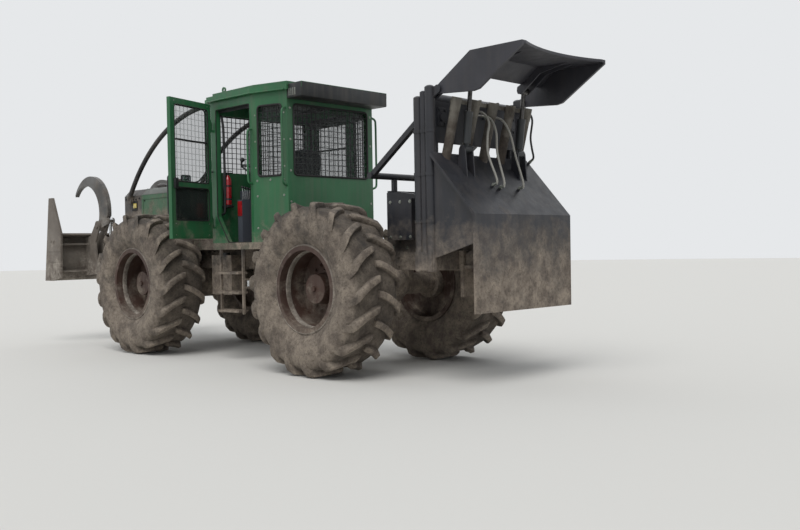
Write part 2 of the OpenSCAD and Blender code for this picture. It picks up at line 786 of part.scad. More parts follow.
module door_glass() {
    g = seat_gap;
    x0 = door_hinge_x - door_w + door_stile + g;
    x1 = door_hinge_x - door_stile - 10 - g;
    color(glass) {
        block([x0, door_hinge_y - 4, door_z + 210 + g], [x1, door_hinge_y + 4, door_window_z - 60 - g]);
        block([x0, door_hinge_y - 14, door_window_z + g], [x1, door_hinge_y - 6, door_top_z - door_stile - g]);
    }
    color(black) translate([x0, door_hinge_y + 8, door_window_z + g])
        guard(x1 - x0, door_top_z - door_stile - door_window_z - 2 * g);
}

module opened(a) {
    translate([door_hinge_x, door_hinge_y, 0]) rotate([0, 0, -a])
        translate([-door_hinge_x, -door_hinge_y, 0]) children();
}

module door_left() opened(door_rest_angle) door_panel();
module door_left_window() opened(door_rest_angle) door_glass();
module door_right() mirror([0, 1, 0]) door_panel();
module door_right_window() mirror([0, 1, 0]) door_glass();

// Hinge pins of the doors on the cab's front posts
module door_pins() {
    for (z = [door_z + 150, door_top_z - 300]) {
        translate([door_hinge_x, door_hinge_y, z - 30]) cylinder(r = 8, h = 150);
        block([door_hinge_x - 12, cab_half_w - 1, z - 30], [door_hinge_x + 12, door_hinge_y + 12, z - eye_gap]);
    }
}

// Steering cylinders lie along X beside the neck
module steer_barrel(s) {
    color(iron) translate([steer_base_x, s * steer_y, steer_z]) difference() {
        union() {
            cylinder(r = steer_r, h = 2 * steer_half_h, center = true);
            rotate([0, 90, 0]) cylinder(r = steer_r * 0.7, h = 61);
            translate([60, 0, 0]) rotate([0, 90, 0]) cylinder(r = steer_r, h = 620);
            translate([635, 0, 0]) rotate([0, 90, 0]) cylinder(r = steer_r * 1.1, h = 45);
        }
        cylinder(r = pin_of(steer_r) + pin_gap, h = 100, center = true);
        translate([80, 0, 0]) rotate([0, 90, 0]) cylinder(r = rod_of(steer_r) + pin_gap, h = 680);
    }
}

module steer_rod(s) {
    color(steel) translate([steer_eye_x, s * steer_y, steer_z]) {
        cylinder(r = steer_r * 0.9, h = 2 * steer_half_h, center = true);
        translate([-680, 0, 0]) rotate([0, 90, 0]) cylinder(r = rod_of(steer_r), h = 680);
    }
}

// Lower arms and their cross tube with the ears of the lift rods
module blade_arms() {
    a = [arm_pin_x, arm_pin_z];
    b = [blade_pin_x, blade_pin_z];
    cross = a + turn([640, 0], arm_angle);
    arm_in = rail_out + free_gap;
    color(mud) difference() {
        union() {
            both() side(arm_in, arm_in + arm_t) link2d(a, b, 130);
            bar_y(cross, 48, -arm_in - 1, arm_in + 1);
            for (s = [-1, 1], e = [-1, 1])
                translate([0, s * lift_y + e * (lift_half_w + eye_gap + 10), 0]) side(-10, 10)
                    link2d(cross, lift_eye, 80);
        }
        both() bar_y(a, arm_pin_r + pin_gap, arm_in - past, arm_in + arm_t + past);
        both() bar_y(b, arm_pin_r + pin_gap, arm_in - past, arm_in + arm_t + past);
    }
}

// Upper links inside the rails
module blade_links() {
    a = [arm_pin_x, link_pin_z];
    b = [blade_pin_x, blade_pin_z + link_rise];
    out = rail_in - free_gap;
    color(mud) difference() {
        both() side(out - link_t, out) link2d(a, b, 84);
        both() bar_y(a, link_pin_r + pin_gap, out - link_t - past, out + past);
        both() bar_y(b, link_pin_r + pin_gap, out - link_t - past, out + past);
    }
}

// Curve of the blade seen from the side: its middle and the height of it
blade_face_x = blade_front_x - 190;
blade_mid_z = blade_z + blade_h / 2;
blade_sag = blade_r - sqrt(blade_r * blade_r - blade_h * blade_h / 4);
blade_centre = [blade_face_x - blade_sag + blade_r, blade_mid_z];
blade_top = blade_z + blade_h;

// A plate on the blade's back, drawn with whatever lies behind the curve
module back_plate(y0, y1) {
    side(y0, y1) difference() {
        children();
        translate(blade_centre) circle(r = blade_r + blade_t / 2, $fn = 96);
    }
}

// Curved blade with its back frame, cheeks and claw brackets
module blade() {
    p = [blade_pin_x, blade_pin_z];
    q = [blade_pin_x, blade_pin_z + link_rise];
    c = [claw_x, claw_z];
    arm_out = rail_out + free_gap + arm_t + free_gap;
    link_out = rail_in - 2 * free_gap - link_t;
    color(mud) {
        side(-blade_half_w, blade_half_w) {
            intersection() {
                translate(blade_centre) difference() {
                    circle(r = blade_r + blade_t, $fn = 96);
                    circle(r = blade_r, $fn = 96);
                }
                translate([blade_face_x - 400, blade_z + 40]) square([560, blade_h - 40]);
            }
            // cutting edge and folded top
            polygon([[blade_face_x - 40, blade_z + 80], [blade_face_x + 16, blade_z + 80],
                [blade_face_x + 60, blade_z], [blade_face_x + 30, blade_z]]);
            polygon([[blade_face_x - 20, blade_top - 25], [blade_face_x - 5, blade_top],
                [blade_face_x - 212, blade_top + 42], [blade_face_x - 220, blade_top + 17]]);
        }
        both() side(blade_half_w - 30, blade_half_w + 1) polygon([
            [blade_face_x - 50, blade_z], [blade_front_x, blade_z], [blade_front_x - 170, cheek_z],
            [blade_front_x - 290, cheek_z], [blade_face_x - 340, blade_top + 35], [blade_face_x - 305, blade_z + 50]
        ]);
        // plates that hold the arms' pins and the links' pins
        both() back_plate(arm_out, arm_out + 30) union() {
            translate(p) circle(r = 75);
            polygon([p + [0, 75], [blade_face_x, p[1] + 160], [blade_face_x, p[1] - 200], p - [0, 75]]);
        }
        both() back_plate(link_out - 30, link_out) union() {
            translate(q) circle(r = 60);
            polygon([q + [0, 60], [blade_face_x - 100, blade_top - 12], [blade_face_x, blade_top - 30],
                [blade_face_x, p[1] - 150], q - [60, 60]]);
        }
        both() bar_y(p, arm_pin_r, arm_out - free_gap - arm_t - 2, arm_out + 1);
        both() bar_y(q, link_pin_r, link_out - 1, link_out + free_gap + link_t + 2);
        // ribs along the back and brackets of the claws
        for (z = [blade_z + 130, blade_top - 130]) back_plate(-blade_half_w + 29, blade_half_w - 29)
            translate([blade_face_x - 150, z]) square([130, 18]);
        both() for (e = [-1, 1]) {
            y = claw_y + e * (claw_t / 2 + 32);
            back_plate(y - 12, y + 12) union() {
                translate(c) circle(r = 70);
                translate(claw_base) circle(r = 55);
                polygon([c + [-70, 0], c + [30, 63], [blade_face_x - 260, blade_top], [blade_face_x, blade_top - 30],
                    [blade_face_x, blade_z + 60], claw_base + [20, -51], claw_base + [-15, 53],
                    claw_base + [260, 150], c + [60, -240], c + [-66, -24]]);
            }
            bar_y(claw_base, 32, y - (e > 0 ? 18 : 13), y + (e > 0 ? 13 : 18));
        }
        both() bar_y(c, claw_pin_r, claw_y - claw_t / 2 - 33, claw_y + claw_t / 2 + 33);
        both() bar_y(claw_base, pin_of(claw_cyl_r), claw_y - claw_t / 2 - 33, claw_y + claw_t / 2 + 33);
    }
}

// Pair of curved log claws with a forked lever for each cylinder
module claws() {
    c = [claw_x, claw_z];
    half = claw_t / 2;
    color(mud) both() difference() {
        union() {
            side(claw_y - half, claw_y + half) difference() {
                translate(c + [290, 205]) circle(r = claw_r, $fn = 64);
                translate(c + [425, 190]) circle(r = claw_r - 120, $fn = 64);
                translate([claw_tip_x, claw_z]) square(claw_r);
                translate(c - [2 * claw_r, 2 * claw_r]) square([4 * claw_r, 2 * claw_r]);
                polygon([c + [-400, 190], c + [-230, 130], c + [-40, -60], c + [-400, -60]]);
            }
            side(claw_y - half, claw_y + half) translate(c) circle(r = 75);
            for (e = [-1, 1]) translate([0, claw_y + e * (half + 7.5), 0]) side(-7.5, 7.5) union() {
                link2d(claw_eye, c, 90);
                translate(c) circle(r = 75);
            }
        }
        bar_y(c, claw_pin_r + pin_gap, claw_y - 2 * claw_t, claw_y + 2 * claw_t);
    }
}

// Plate line of the butt plate's upper part, which the tubes and ears stand on
butt_top = [-tower_x - post_r - seat_gap, butt_fold_z + butt_depth + 10];
butt_fold = [-tower_x - butt_depth, butt_fold_z];
butt_run = (butt_fold - butt_top) / norm(butt_fold - butt_top);
butt_out = [butt_run[1], -butt_run[0]];
function on_butt(x) = butt_top[1] + (x - butt_top[0]) * butt_run[1] / butt_run[0];
// Point at height d over the sloping face of the butt plate
function over_butt(x, y, d) = [x + butt_out[0] * d, y, on_butt(x) + butt_out[1] * d];

// Rows of posts on their outriggers, top beam, stays and the ears of the shield's hinge
module tower() {
    x = -tower_x;
    r2 = post_r * 0.75;
    r3 = post_r * 0.9;
    x2 = x + 0.9 * (post_r + r2);
    x3 = x2 + 0.9 * (r2 + r3);
    beam = [x + 40, post_top_z - 100];
    front = [winch_front_x - 20, 2060];
    stay_y = 550;
    ear_in = shield_half_w - cheek_t - eye_gap - 20;
    color(iron) {
        both() {
            translate([x, post_y, rail_z]) cylinder(r = post_r, h = post_top_z - rail_z);
            translate([x2, post_y, rail_z]) cylinder(r = r2, h = post_top_z - 40 - rail_z);
            translate([x3, post_y, rail_z]) cylinder(r = r3, h = post_top_z - 85 - rail_z);
            block([x - post_r + 15, rail_out, rail_z + 10], [x3 + r3 - 12, post_y + 42, rear_rail_top - 5]);
            // slim pipe inside the posts
            translate([x + 10, post_y - 98, rear_rail_top - 30]) cylinder(r = 16, h = beam[1] - rear_rail_top);
            // stay from the beam down to the cross bar over the winch
            side(stay_y - 26, stay_y + 26) translate(beam) rotate(heading(beam, front))
                translate([0, -26]) square([norm(front - beam), 52]);
            for (y = [ear_in, shield_half_w + eye_gap]) side(y, y + 20) link2d(beam, shield_hinge, 80);
            bar_y(shield_hinge, shield_pin_r, ear_in + 5, shield_half_w + eye_gap + 15);
            block([front[0] - 20, 200, rear_rail_top + winch_front_h], [front[0] + 20, 250, front[1]]);
        }
        bar_y(beam, 55, -post_y, post_y);
        bar_y(front, 34, -stay_y - 40, stay_y + 40);
        // plate behind the guide tubes, with the fittings of the hoses
        block([x - 10, -post_y + 30, butt_top[1] + 100], [x + 5, post_y - 30, beam[1] - 10]);
        for (h = hose_roots) translate([x - 5, h[1], h[2]]) rotate([0, -90, 0]) cylinder(r = hose_r + 6, h = -h[0] + x - 5);
        translate([x, outer_root[1], outer_root[2]]) rotate([0, -90, 0]) cylinder(r = hose_r + 3, h = x - outer_root[0]);
    }
}

// Folded plate that the logs' ends pull up against, with its gussets and the ears of the shield's cylinders
module butt_plate() {
    color(iron) {
        side(-butt_half_w, butt_half_w) polygon([
            butt_top, butt_fold, [butt_fold[0], butt_low_z], [butt_fold[0] + butt_t, butt_low_z],
            butt_fold + [butt_t, -butt_t * 0.45], butt_top + [0, -butt_t * 1.5]
        ]);
        both() side(butt_gusset_y, butt_gusset_y + 25) polygon([
            butt_top + [0, -25], butt_fold + [10, -10], [butt_fold[0] + 10, butt_fold_z - 250],
            [butt_top[0], rear_rail_top - 60]
        ]);
        // arms and floor out from the frame's end
        block([butt_fold[0] + butt_t - 5, -rail_out + 10, rail_z + 20], [-rear_rail_x - plate_t, rail_out - 10, rail_z + 50]);
        both() side(rail_in + 20, rail_in + 45) polygon([
            [butt_fold[0] + 10, rail_z + 30], [butt_fold[0] + 10, min(rear_rail_top + 200, butt_fold_z - 60)],
            [-rear_rail_x - plate_t, rear_rail_top - 30], [-rear_rail_x - plate_t, rail_z + 30]
        ]);
        both() for (e = [-1, 1]) {
            y = shield_cyl_y + e * (shield_eye_half_w + eye_gap + 8);
            side(y - 8, y + 8) polygon([
                shield_base + [-36, 0], shield_base + [-20, 30], shield_base + [20, 30], shield_base + [36, 0],
                [shield_base[0] + 52, on_butt(shield_base[0] + 52) - 8], [shield_base[0] - 60, on_butt(shield_base[0] - 60) - 8]
            ]);
        }
        // fittings of the hoses
        for (h = hose_feet) translate(over_butt(h[0], h[1], -8)) rotate([0, heading([0, 0], [butt_out[1], butt_out[0]]), 0])
            cylinder(r = hose_r + 4, h = 8 + hose_fit);
        both() bar_y(shield_base, pin_of(shield_cyl_r), shield_cyl_y - shield_eye_half_w - 12, shield_cyl_y + shield_eye_half_w + 12);
    }
}

// Free hoses, each from a fitting on the tower down to one on the butt plate
hose_r = 11;
hose_fit = 35;
tower_top = [-tower_x, 0, post_top_z];
hose_roots = [for (q = [[-40, 185, -190], [-40, 95, -230], [-40, -95, -230]]) tower_top + q];
outer_root = tower_top + [-70, -722, -130];
hose_feet = [for (q = [[350, 215], [370, 128], [370, -175], [90, -735]]) [-tower_x - q[0], q[1]]];
// Way of each hose from the posts' tops
left_way = [[-105, 185, -190], [-245, 190, -230], [-325, 205, -330], [-345, 255, -460], [-350, 255, -640]];
mid_way = [[-105, 95, -230], [-250, 98, -270], [-340, 118, -410], [-365, 133, -630]];
right_way = [[-105, -95, -230], [-245, -98, -270], [-330, -115, -410], [-360, -160, -630]];
outer_way = [[-120, -722, -130], [-152, -735, -210], [-120, -745, -380], [-135, -745, -500]];

// Rounded route through the points p, with n steps to a leg
function leg(p, i, t) = let (
    a = p[max(i - 1, 0)], b = p[i], c = p[i + 1], d = p[min(i + 2, len(p) - 1)]
) 0.5 * (2 * b + (c - a) * t + (2 * a - 5 * b + 4 * c - d) * t * t + (3 * b - a - 3 * c + d) * t * t * t);
function route(p, n) = [for (i = [0 : len(p) - 2], k = [0 : n - 1]) leg(p, i, k / n), p[len(p) - 1]];

module hose(root, way, foot) {
    sides = 10;
    start = root - [seat_gap, 0, 0];
    p = route(concat([start], [for (q = way) tower_top + q], [over_butt(foot[0], foot[1], hose_fit + 60)],
        [over_butt(foot[0], foot[1], hose_fit + seat_gap)]), 3);
    m = len(p);
    rings = [for (i = [0 : m - 1]) let (
        t = i == 0 ? [-1, 0, 0] : i == m - 1 ? -[butt_out[0], 0, butt_out[1]] : p[i + 1] - p[i - 1],
        u = cross(t, [0, 1, 0]) / norm(cross(t, [0, 1, 0])),
        v = cross(t, u) / norm(cross(t, u))
    ) for (k = [0 : sides - 1]) p[i] + hose_r * (cos(k * 360 / sides) * u + sin(k * 360 / sides) * v)];
    walls = [for (i = [0 : m - 2], k = [0 : sides - 1]) let (
        a = i * sides + k, b = i * sides + (k + 1) % sides
    ) each [[a, b, b + sides], [a, b + sides, a + sides]]];
    ends = [[for (k = [sides - 1 : -1 : 0]) k], [for (k = [0 : sides - 1]) (m - 1) * sides + k]];
    color(black) polyhedron(rings, concat(walls, ends));
}

module hose_left() hose(hose_roots[0], left_way, hose_feet[0]);
module hose_mid() hose(hose_roots[1], mid_way, hose_feet[1]);
module hose_right() hose(hose_roots[2], right_way, hose_feet[2]);
module hose_outer() hose(outer_root, outer_way, hose_feet[3]);

// Leaning guide tubes with their caps, cut to stand on the butt plate
module guide_tubes() {
    foot = [-tower_x - 85, post_top_z - 630];
    bar_x = foot[0] - (post_top_z - 100 - foot[1]) * tan(tube_lean);
    top = post_top_z - 90 - foot[1];
    down = max(10, foot[1] + 160 - butt_top[1]);
    color(steel) difference() {
        union() {
            for (i = [-2 : 2]) translate([foot[0], i * tube_pitch, foot[1]]) rotate([0, -tube_lean, 0]) {
                translate([0, 0, -down]) cylinder(r = tube_r - 4, h = top - 100 + down);
                translate([0, 0, top - 130]) cylinder(r = tube_r, h = 130);
            }
            // cross bar before the tubes' caps, held by two arms from the beam
            translate([foot[0], 0, foot[1]]) rotate([0, -tube_lean, 0])
                block([tube_r - 12, -2 * tube_pitch - 17, top - 60], [tube_r + 13, 2 * tube_pitch + 17, top - 20]);
            for (s = [-1, 1]) block([bar_x + 52, s * tube_pitch / 2 - 12, post_top_z - 112],
                [beam_back - seat_gap, s * tube_pitch / 2 + 12, post_top_z - 88]);
        }
        side(-1000, 1000) polygon([
            butt_top + [0, seat_gap], butt_fold + [-0.4, seat_gap], [butt_fold[0] - 10, butt_fold_z - 150], [-tower_x + 200, butt_fold_z - 150],
            [-tower_x + 200, butt_top[1] + seat_gap]
        ]);
    }
}

// Winch frame with bored side plates and the gear case on its left
module winch_housing() {
    z = rear_rail_top;
    color(iron) difference() {
        union() {
            both() side(drum_half_w + 20, drum_half_w + 75) polygon([
                [winch_x - 330, z], [winch_x - 330, z + 260], [winch_x - 180, z + 560],
                [winch_x + 200, z + 620], [winch_front_x - 5, z + 620], [winch_front_x - 5, z]
            ]);
            block([winch_front_x - 40, -drum_half_w - 60, z], [winch_front_x, drum_half_w + 60, z + winch_front_h]);
            block([winch_x - 60, drum_half_w + 74, z + 120], [winch_x + 260, drum_half_w + 170, z + 540]);
            bar_y([winch_x - 240, z + 180], 35, -drum_half_w - 50, drum_half_w + 50);
        }
        bar_y([winch_x, winch_z], drum_shaft_r + pin_gap, -drum_half_w - 75 - past, drum_half_w + 78);
    }
}

module winch_drum() {
    color(steel) {
        bar_y([winch_x, winch_z], 110, -drum_half_w, drum_half_w);
        bar_y([winch_x, winch_z], drum_shaft_r, -drum_half_w - 75, drum_half_w + 75);
        for (y = [-drum_half_w, -10, drum_half_w - 20]) bar_y([winch_x, winch_z], drum_r, y, y + 20);
    }
}

// Log shield folded up like a roof: bent plate between two cheeks, hollowed lip, ribs and cylinder lugs
module shield() {
    h = shield_hinge;
    c = h + [-shield_bend, shield_rise];
    d = h + [-shield_reach, shield_rise];
    g = h + [-450, -50];
    n = (c - h) / norm(c - h);
    up = [n[1], -n[0]];
    near = h + n * 250;
    inner = shield_half_w - cheek_t;
    depth = lip_hollow + 12;
    lip_r = (inner * inner + depth * depth) / (2 * depth);
    color(iron) {
        difference() {
            side(-inner - 5, inner + 5) polygon([
                near, c, d, d - [0, shield_t], c - [shield_t * (1 - up[1]) / up[0], shield_t], near - up * shield_t
            ]);
            translate([d[0] - lip_r + lip_hollow, 0, 0]) cylinder(r = lip_r, h = 6000);
        }
        both() side(inner, shield_half_w) difference() {
            union() {
                translate(h) circle(r = 44);
                polygon([h + [10, 42], c + [10, 3], d, d - [0, 40], g + [-40, -8], g + [30, -20], h + [-10, -42]]);
            }
            translate(h) circle(r = shield_pin_r + pin_gap);
        }
        // ribs under the plate and lugs of the cylinders' eyes
        both() for (e = [-1, 1]) {
            y = shield_cyl_y + e * (shield_eye_half_w + eye_gap + 8);
            side(y - 8, y + 8) polygon([
                shield_eye + [38, 0], shield_eye + [26, -30], shield_eye + [-20, -36], c + [-30, -90],
                d + [160, -shield_t / 2], c - [0, shield_t / 2], near - up * shield_t / 2, shield_eye + [32, 40]
            ]);
        }
    }
}

lift_w = 2 * lift_half_w;
claw_w = 2 * claw_eye_half_w;
shield_w = 2 * shield_eye_half_w;

module lift_barrels() color(iron) for (s = [-1, 1]) barrel(lift_base, lift_eye, s * lift_y, lift_r, 520, lift_w);
module lift_rods() color(steel) for (s = [-1, 1]) rod(lift_base, lift_eye, s * lift_y, lift_r, 520, lift_w);
module claw_barrels() color(iron) for (s = [-1, 1]) barrel(claw_base, claw_eye, s * claw_y, claw_cyl_r, 420, claw_w);
module claw_rods() color(steel) for (s = [-1, 1]) rod(claw_base, claw_eye, s * claw_y, claw_cyl_r, 500, claw_w);
module shield_barrels() color(steel) for (s = [-1, 1])
    barrel(shield_base, shield_eye, s * shield_cyl_y, shield_cyl_r, 352, shield_w);
module shield_rods() color(steel) for (s = [-1, 1])
    rod(shield_base, shield_eye, s * shield_cyl_y, shield_cyl_r, 315, shield_w);

translate([middle_x, middle_y, 0]) {
    rear_frame();
    rear_axle();
    tower();
    butt_plate();
    guide_tubes();
    winch_housing();
    winch_drum();
    front_frame();
    front_axle();
    engine();
    steps_tank();
    cab_floor();
    cab_walls();
    cab_roof();
    cab_windows();
    cab_guards();
    seat();
    console();
    steering_wheel();
    hood();
    nose();
    limb_risers();
    at_wheel(front_x, 1) tyre();  // tyre_fl
    at_wheel(front_x, 1) rim();  // rim_fl
    at_wheel(front_x, -1) tyre();  // tyre_fr
    at_wheel(front_x, -1) rim();  // rim_fr
    at_wheel(rear_x, 1) tyre();  // tyre_rl
    at_wheel(rear_x, 1) rim();  // rim_rl
    at_wheel(rear_x, -1) tyre();  // tyre_rr
    at_wheel(rear_x, -1) rim();  // rim_rr
    door_left();
    door_left_window();
    door_right();
    door_right_window();
    steer_barrel(1);  // steer_barrel_left
    steer_rod(1);  // steer_rod_left
    steer_barrel(-1);  // steer_barrel_right
    steer_rod(-1);  // steer_rod_right
    blade_arms();
    blade_links();
    blade();
    lift_barrels();
    lift_rods();
    claws();
    claw_barrels();
    claw_rods();
    shield();
    shield_barrels();
    shield_rods();
    hose_left();
    hose_mid();
    hose_right();
    hose_outer();
}
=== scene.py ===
import math

import bmesh
import bpy
from mathutils import Matrix, Vector, noise


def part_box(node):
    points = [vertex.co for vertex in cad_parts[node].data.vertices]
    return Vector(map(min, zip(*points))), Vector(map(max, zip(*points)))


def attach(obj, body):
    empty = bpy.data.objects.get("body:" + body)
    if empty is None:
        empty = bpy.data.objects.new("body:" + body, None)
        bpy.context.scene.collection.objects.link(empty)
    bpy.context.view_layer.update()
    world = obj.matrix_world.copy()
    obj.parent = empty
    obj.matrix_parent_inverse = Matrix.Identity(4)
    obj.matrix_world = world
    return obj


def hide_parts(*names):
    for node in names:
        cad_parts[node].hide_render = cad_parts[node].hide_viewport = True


bl_info = {
    "name": "Skidder Finish",
    "version": (1, 0, 0),
    "blender": (4, 5, 0),
    "location": "View3D > Sidebar > Skidder",
    "description": "Adds the trim, the finishes and the studio to an articulated log skidder",
    "category": "Add Mesh",
}

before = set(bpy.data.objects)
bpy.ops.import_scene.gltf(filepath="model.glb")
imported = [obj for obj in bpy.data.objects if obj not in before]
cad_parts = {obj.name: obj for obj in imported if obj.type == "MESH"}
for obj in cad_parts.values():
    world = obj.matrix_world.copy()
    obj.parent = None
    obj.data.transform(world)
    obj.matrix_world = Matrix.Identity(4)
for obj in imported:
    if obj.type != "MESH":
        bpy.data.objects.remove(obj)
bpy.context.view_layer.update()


# Places


def middle(node):
    low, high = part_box(node)
    return (low + high) / 2


# The drawing is in millimetres from the steering pivot, on the ground under it
PIVOT = Vector(((middle("front_axle").x + middle("rear_axle").x) / 2, middle("front_axle").y, 0.0))
AXLE_X = 1725
AXLE_Z = 900
WHEEL_Y = 910


def at(x, y, z):
    """A point of the drawing, in the frame's metres."""
    return PIVOT + Vector((x, y, z)) / 1000


def sides(*points):
    """The same route on the left and on the right of the machine."""
    return [[at(x, s * y, z) for x, y, z in points] for s in (1, -1)]


REAR_CORNER = (-890, 660)
SLANT_TURN = math.atan2(120, 490)
DOOR_HINGE = (390, 810.5)
DOOR_OPEN = math.radians(72)


def on_slant(along, out, z, s=1):
    """A point on the cab's slanted side wall: along it from its rear corner, and out from its face."""
    x = REAR_CORNER[0] + along * math.cos(SLANT_TURN) - out * math.sin(SLANT_TURN)
    y = REAR_CORNER[1] + along * math.sin(SLANT_TURN) + out * math.cos(SLANT_TURN)
    return at(x, s * y, z)


def on_door(along, out, z, s=1):
    """A point on a door, along it from its hinge and out from its middle plane. The left door is open."""
    turn = DOOR_OPEN if s > 0 else 0.0
    x = DOOR_HINGE[0] - along * math.cos(turn) + out * math.sin(turn)
    y = DOOR_HINGE[1] + along * math.sin(turn) + out * math.cos(turn)
    return at(x, s * y, z)


# Meshes


FINISH = {}


def new_piece(name, shape, finish, body, creases=35):
    """Makes the bmesh a piece of the machine in the finish of that name."""
    bmesh.ops.recalc_face_normals(shape, faces=shape.faces)
    mesh = bpy.data.meshes.new(name)
    shape.to_mesh(mesh)
    shape.free()
    mesh.shade_smooth()
    mesh.set_sharp_from_angle(angle=math.radians(creases))
    mesh.materials.append(FINISH[finish])
    piece = bpy.data.objects.new(name, mesh)
    bpy.context.scene.collection.objects.link(piece)
    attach(piece, body)
    return piece


def pipes(name, routes, thick, finish, body, smooth=True, closed=False):
    """Round bars along the routes, in metres, as one piece."""
    curve = bpy.data.curves.new(name, "CURVE")
    curve.dimensions = "3D"
    curve.bevel_depth = thick / 2
    curve.bevel_resolution = 3
    curve.resolution_u = 8
    curve.use_fill_caps = not closed
    for route in routes:
        if smooth:
            line = curve.splines.new("BEZIER")
            line.bezier_points.add(len(route) - 1)
            for knot, point in zip(line.bezier_points, route):
                knot.co = point
                knot.handle_left_type = knot.handle_right_type = "AUTO"
        else:
            line = curve.splines.new("POLY")
            line.points.add(len(route) - 1)
            for knot, point in zip(line.points, route):
                knot.co = (*point, 1.0)
        line.use_cyclic_u = closed
    curve.materials.append(FINISH[finish])
    piece = bpy.data.objects.new(name, curve)
    bpy.context.scene.collection.objects.link(piece)
    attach(piece, body)
    return piece


def eased(route, radius, closed=False, steps=5):
    """The route with its corners rounded to the radius."""
    out = []
    count = len(route)
    for i, corner in enumerate(route):
        if not closed and i in (0, count - 1):
            out.append(Vector(corner))
            continue
        before = Vector(route[i - 1]) - corner
        after = Vector(route[(i + 1) % count]) - corner
        cut = min(radius, before.length * 0.45, after.length * 0.45)
        start = corner + before.normalized() * cut
        end = corner + after.normalized() * cut
        for k in range(steps + 1):
            t = k / steps
            out.append(start * (1 - t) ** 2 + Vector(corner) * 2 * t * (1 - t) + end * t * t)
    return out


def rounded(knots, steps=5):
    """A smooth route through the knots, as the drawing rounds its hoses."""
    out = []
    for i in range(len(knots) - 1):
        a, b = knots[max(i - 1, 0)], knots[i]
        c, d = knots[i + 1], knots[min(i + 2, len(knots) - 1)]
        for k in range(steps):
            t = k / steps
            out.append(0.5 * (2 * b + (c - a) * t + (2 * a - 5 * b + 4 * c - d) * t ** 2
                              + (3 * b - a - 3 * c + d) * t ** 3))
    return out + [knots[-1]]


def place(point, outward):
    """The turn and place that stand a shape drawn along Z on a face."""
    return Matrix.Translation(point) @ Vector(outward).to_track_quat("Z", "Y").to_matrix().to_4x4()


def box(shape, low, high, edge=0.004, turn=None):
    """A box with eased edges between two corners."""
    low, high = Vector(low), Vector(high)
    size = [abs(b - a) for a, b in zip(low, high)]
    where = Matrix.Translation((low + high) / 2) @ Matrix.Diagonal((*size, 1))
    if turn is not None:
        where = turn @ where
    made = bmesh.ops.create_cube(shape, size=1, matrix=where)
    if edge:
        edges = {e for v in made["verts"] for e in v.link_edges}
        bmesh.ops.bevel(shape, geom=list(edges), offset=edge, segments=2, profile=0.5,
                        affect="EDGES", material=-1)


def disc(shape, point, outward, radius, tall, sides_n=32, top=None):
    """A short round bar standing on a face."""
    where = place(point, outward) @ Matrix.Translation((0, 0, tall / 2))
    bmesh.ops.create_cone(shape, cap_ends=True, segments=sides_n, radius1=radius,
                          radius2=radius if top is None else top, depth=tall, matrix=where)


def bolts(shape, points, outward, head=0.014):
    """Hexagon heads on their washers."""
    out = Vector(outward).normalized()
    for point in points:
        disc(shape, point, out, head * 1.45, 0.003, 16)
        disc(shape, point + out * 0.003, out, head, head * 0.75, 6, head * 0.9)


def lathe(shape, profile, centre, axis, steps=64):
    """Spins (radius, along) points about the axis through the centre."""
    axis = Vector(axis).normalized()
    across = axis.orthogonal().normalized()
    verts = [shape.verts.new(Vector(centre) + across * r + axis * a) for r, a in profile]
    edges = [shape.edges.new(pair) for pair in zip(verts, verts[1:])]
    bmesh.ops.spin(shape, geom=verts + edges, cent=centre, axis=axis, angle=2 * math.pi,
                   steps=steps, use_merge=True)
    bmesh.ops.remove_doubles(shape, verts=shape.verts, dist=1e-6)


# Finishes


def colour(code):
    """An sRGB hex colour as linear light."""
    parts = [int(code[i:i + 2], 16) / 255 for i in (1, 3, 5)]
    return tuple(c / 12.92 if c <= 0.04045 else ((c + 0.055) / 1.055) ** 2.4 for c in parts) + (1.0,)


def add(tree, kind, inputs=None, out=0, stops=None, **settings):
    """Adds a node and gives one of its outputs. An input is a socket to link, a value or a hex colour."""
    made = tree.nodes.new(kind)
    for key, value in settings.items():
        setattr(made, key, value)
    for key, value in (inputs or {}).items():
        if isinstance(value, bpy.types.NodeSocket):
            tree.links.new(value, made.inputs[key])
        else:
            made.inputs[key].default_value = colour(value) if isinstance(value, str) else value
    for element, (spot, shade) in zip(made.color_ramp.elements if stops else (), stops or ()):
        element.position, element.color = spot, colour(shade)
    return made.outputs[out] if made.outputs else made


def new_finish(name):
    """An empty material, kept under its name; gives its node tree."""
    finish = FINISH[name] = bpy.data.materials.new(name)
    finish.use_nodes = True
    finish.node_tree.nodes.clear()
    return finish.node_tree


# What weather and mud draw: its width in millimetres, and the detail and roughness of its noise.
# Grit is a tenth of this in life, and is drawn as coarse as it has to be to show.
WEATHER = {
    "fading": (588, 5.0, 0.6),
    "patches": (250, 9.0, 0.68),
    "clods": (143, 6.0, 0.7),
    "gloss": (111, 5.0, 0.6),
    "flakes": (43.5, 5.0, 0.75),
    "crumbs": (26.3, 6.0, 0.7),
    "grit": (6.25, 3.0, 0.6),
}
STREAK_SIZE = (71.4, 71.4, 1111)
DARK_CRUMB = "#40382F"
# painted shade for the gaps between a tyre's lugs
PAINTED_GAP_SHADE = "#2A2520"


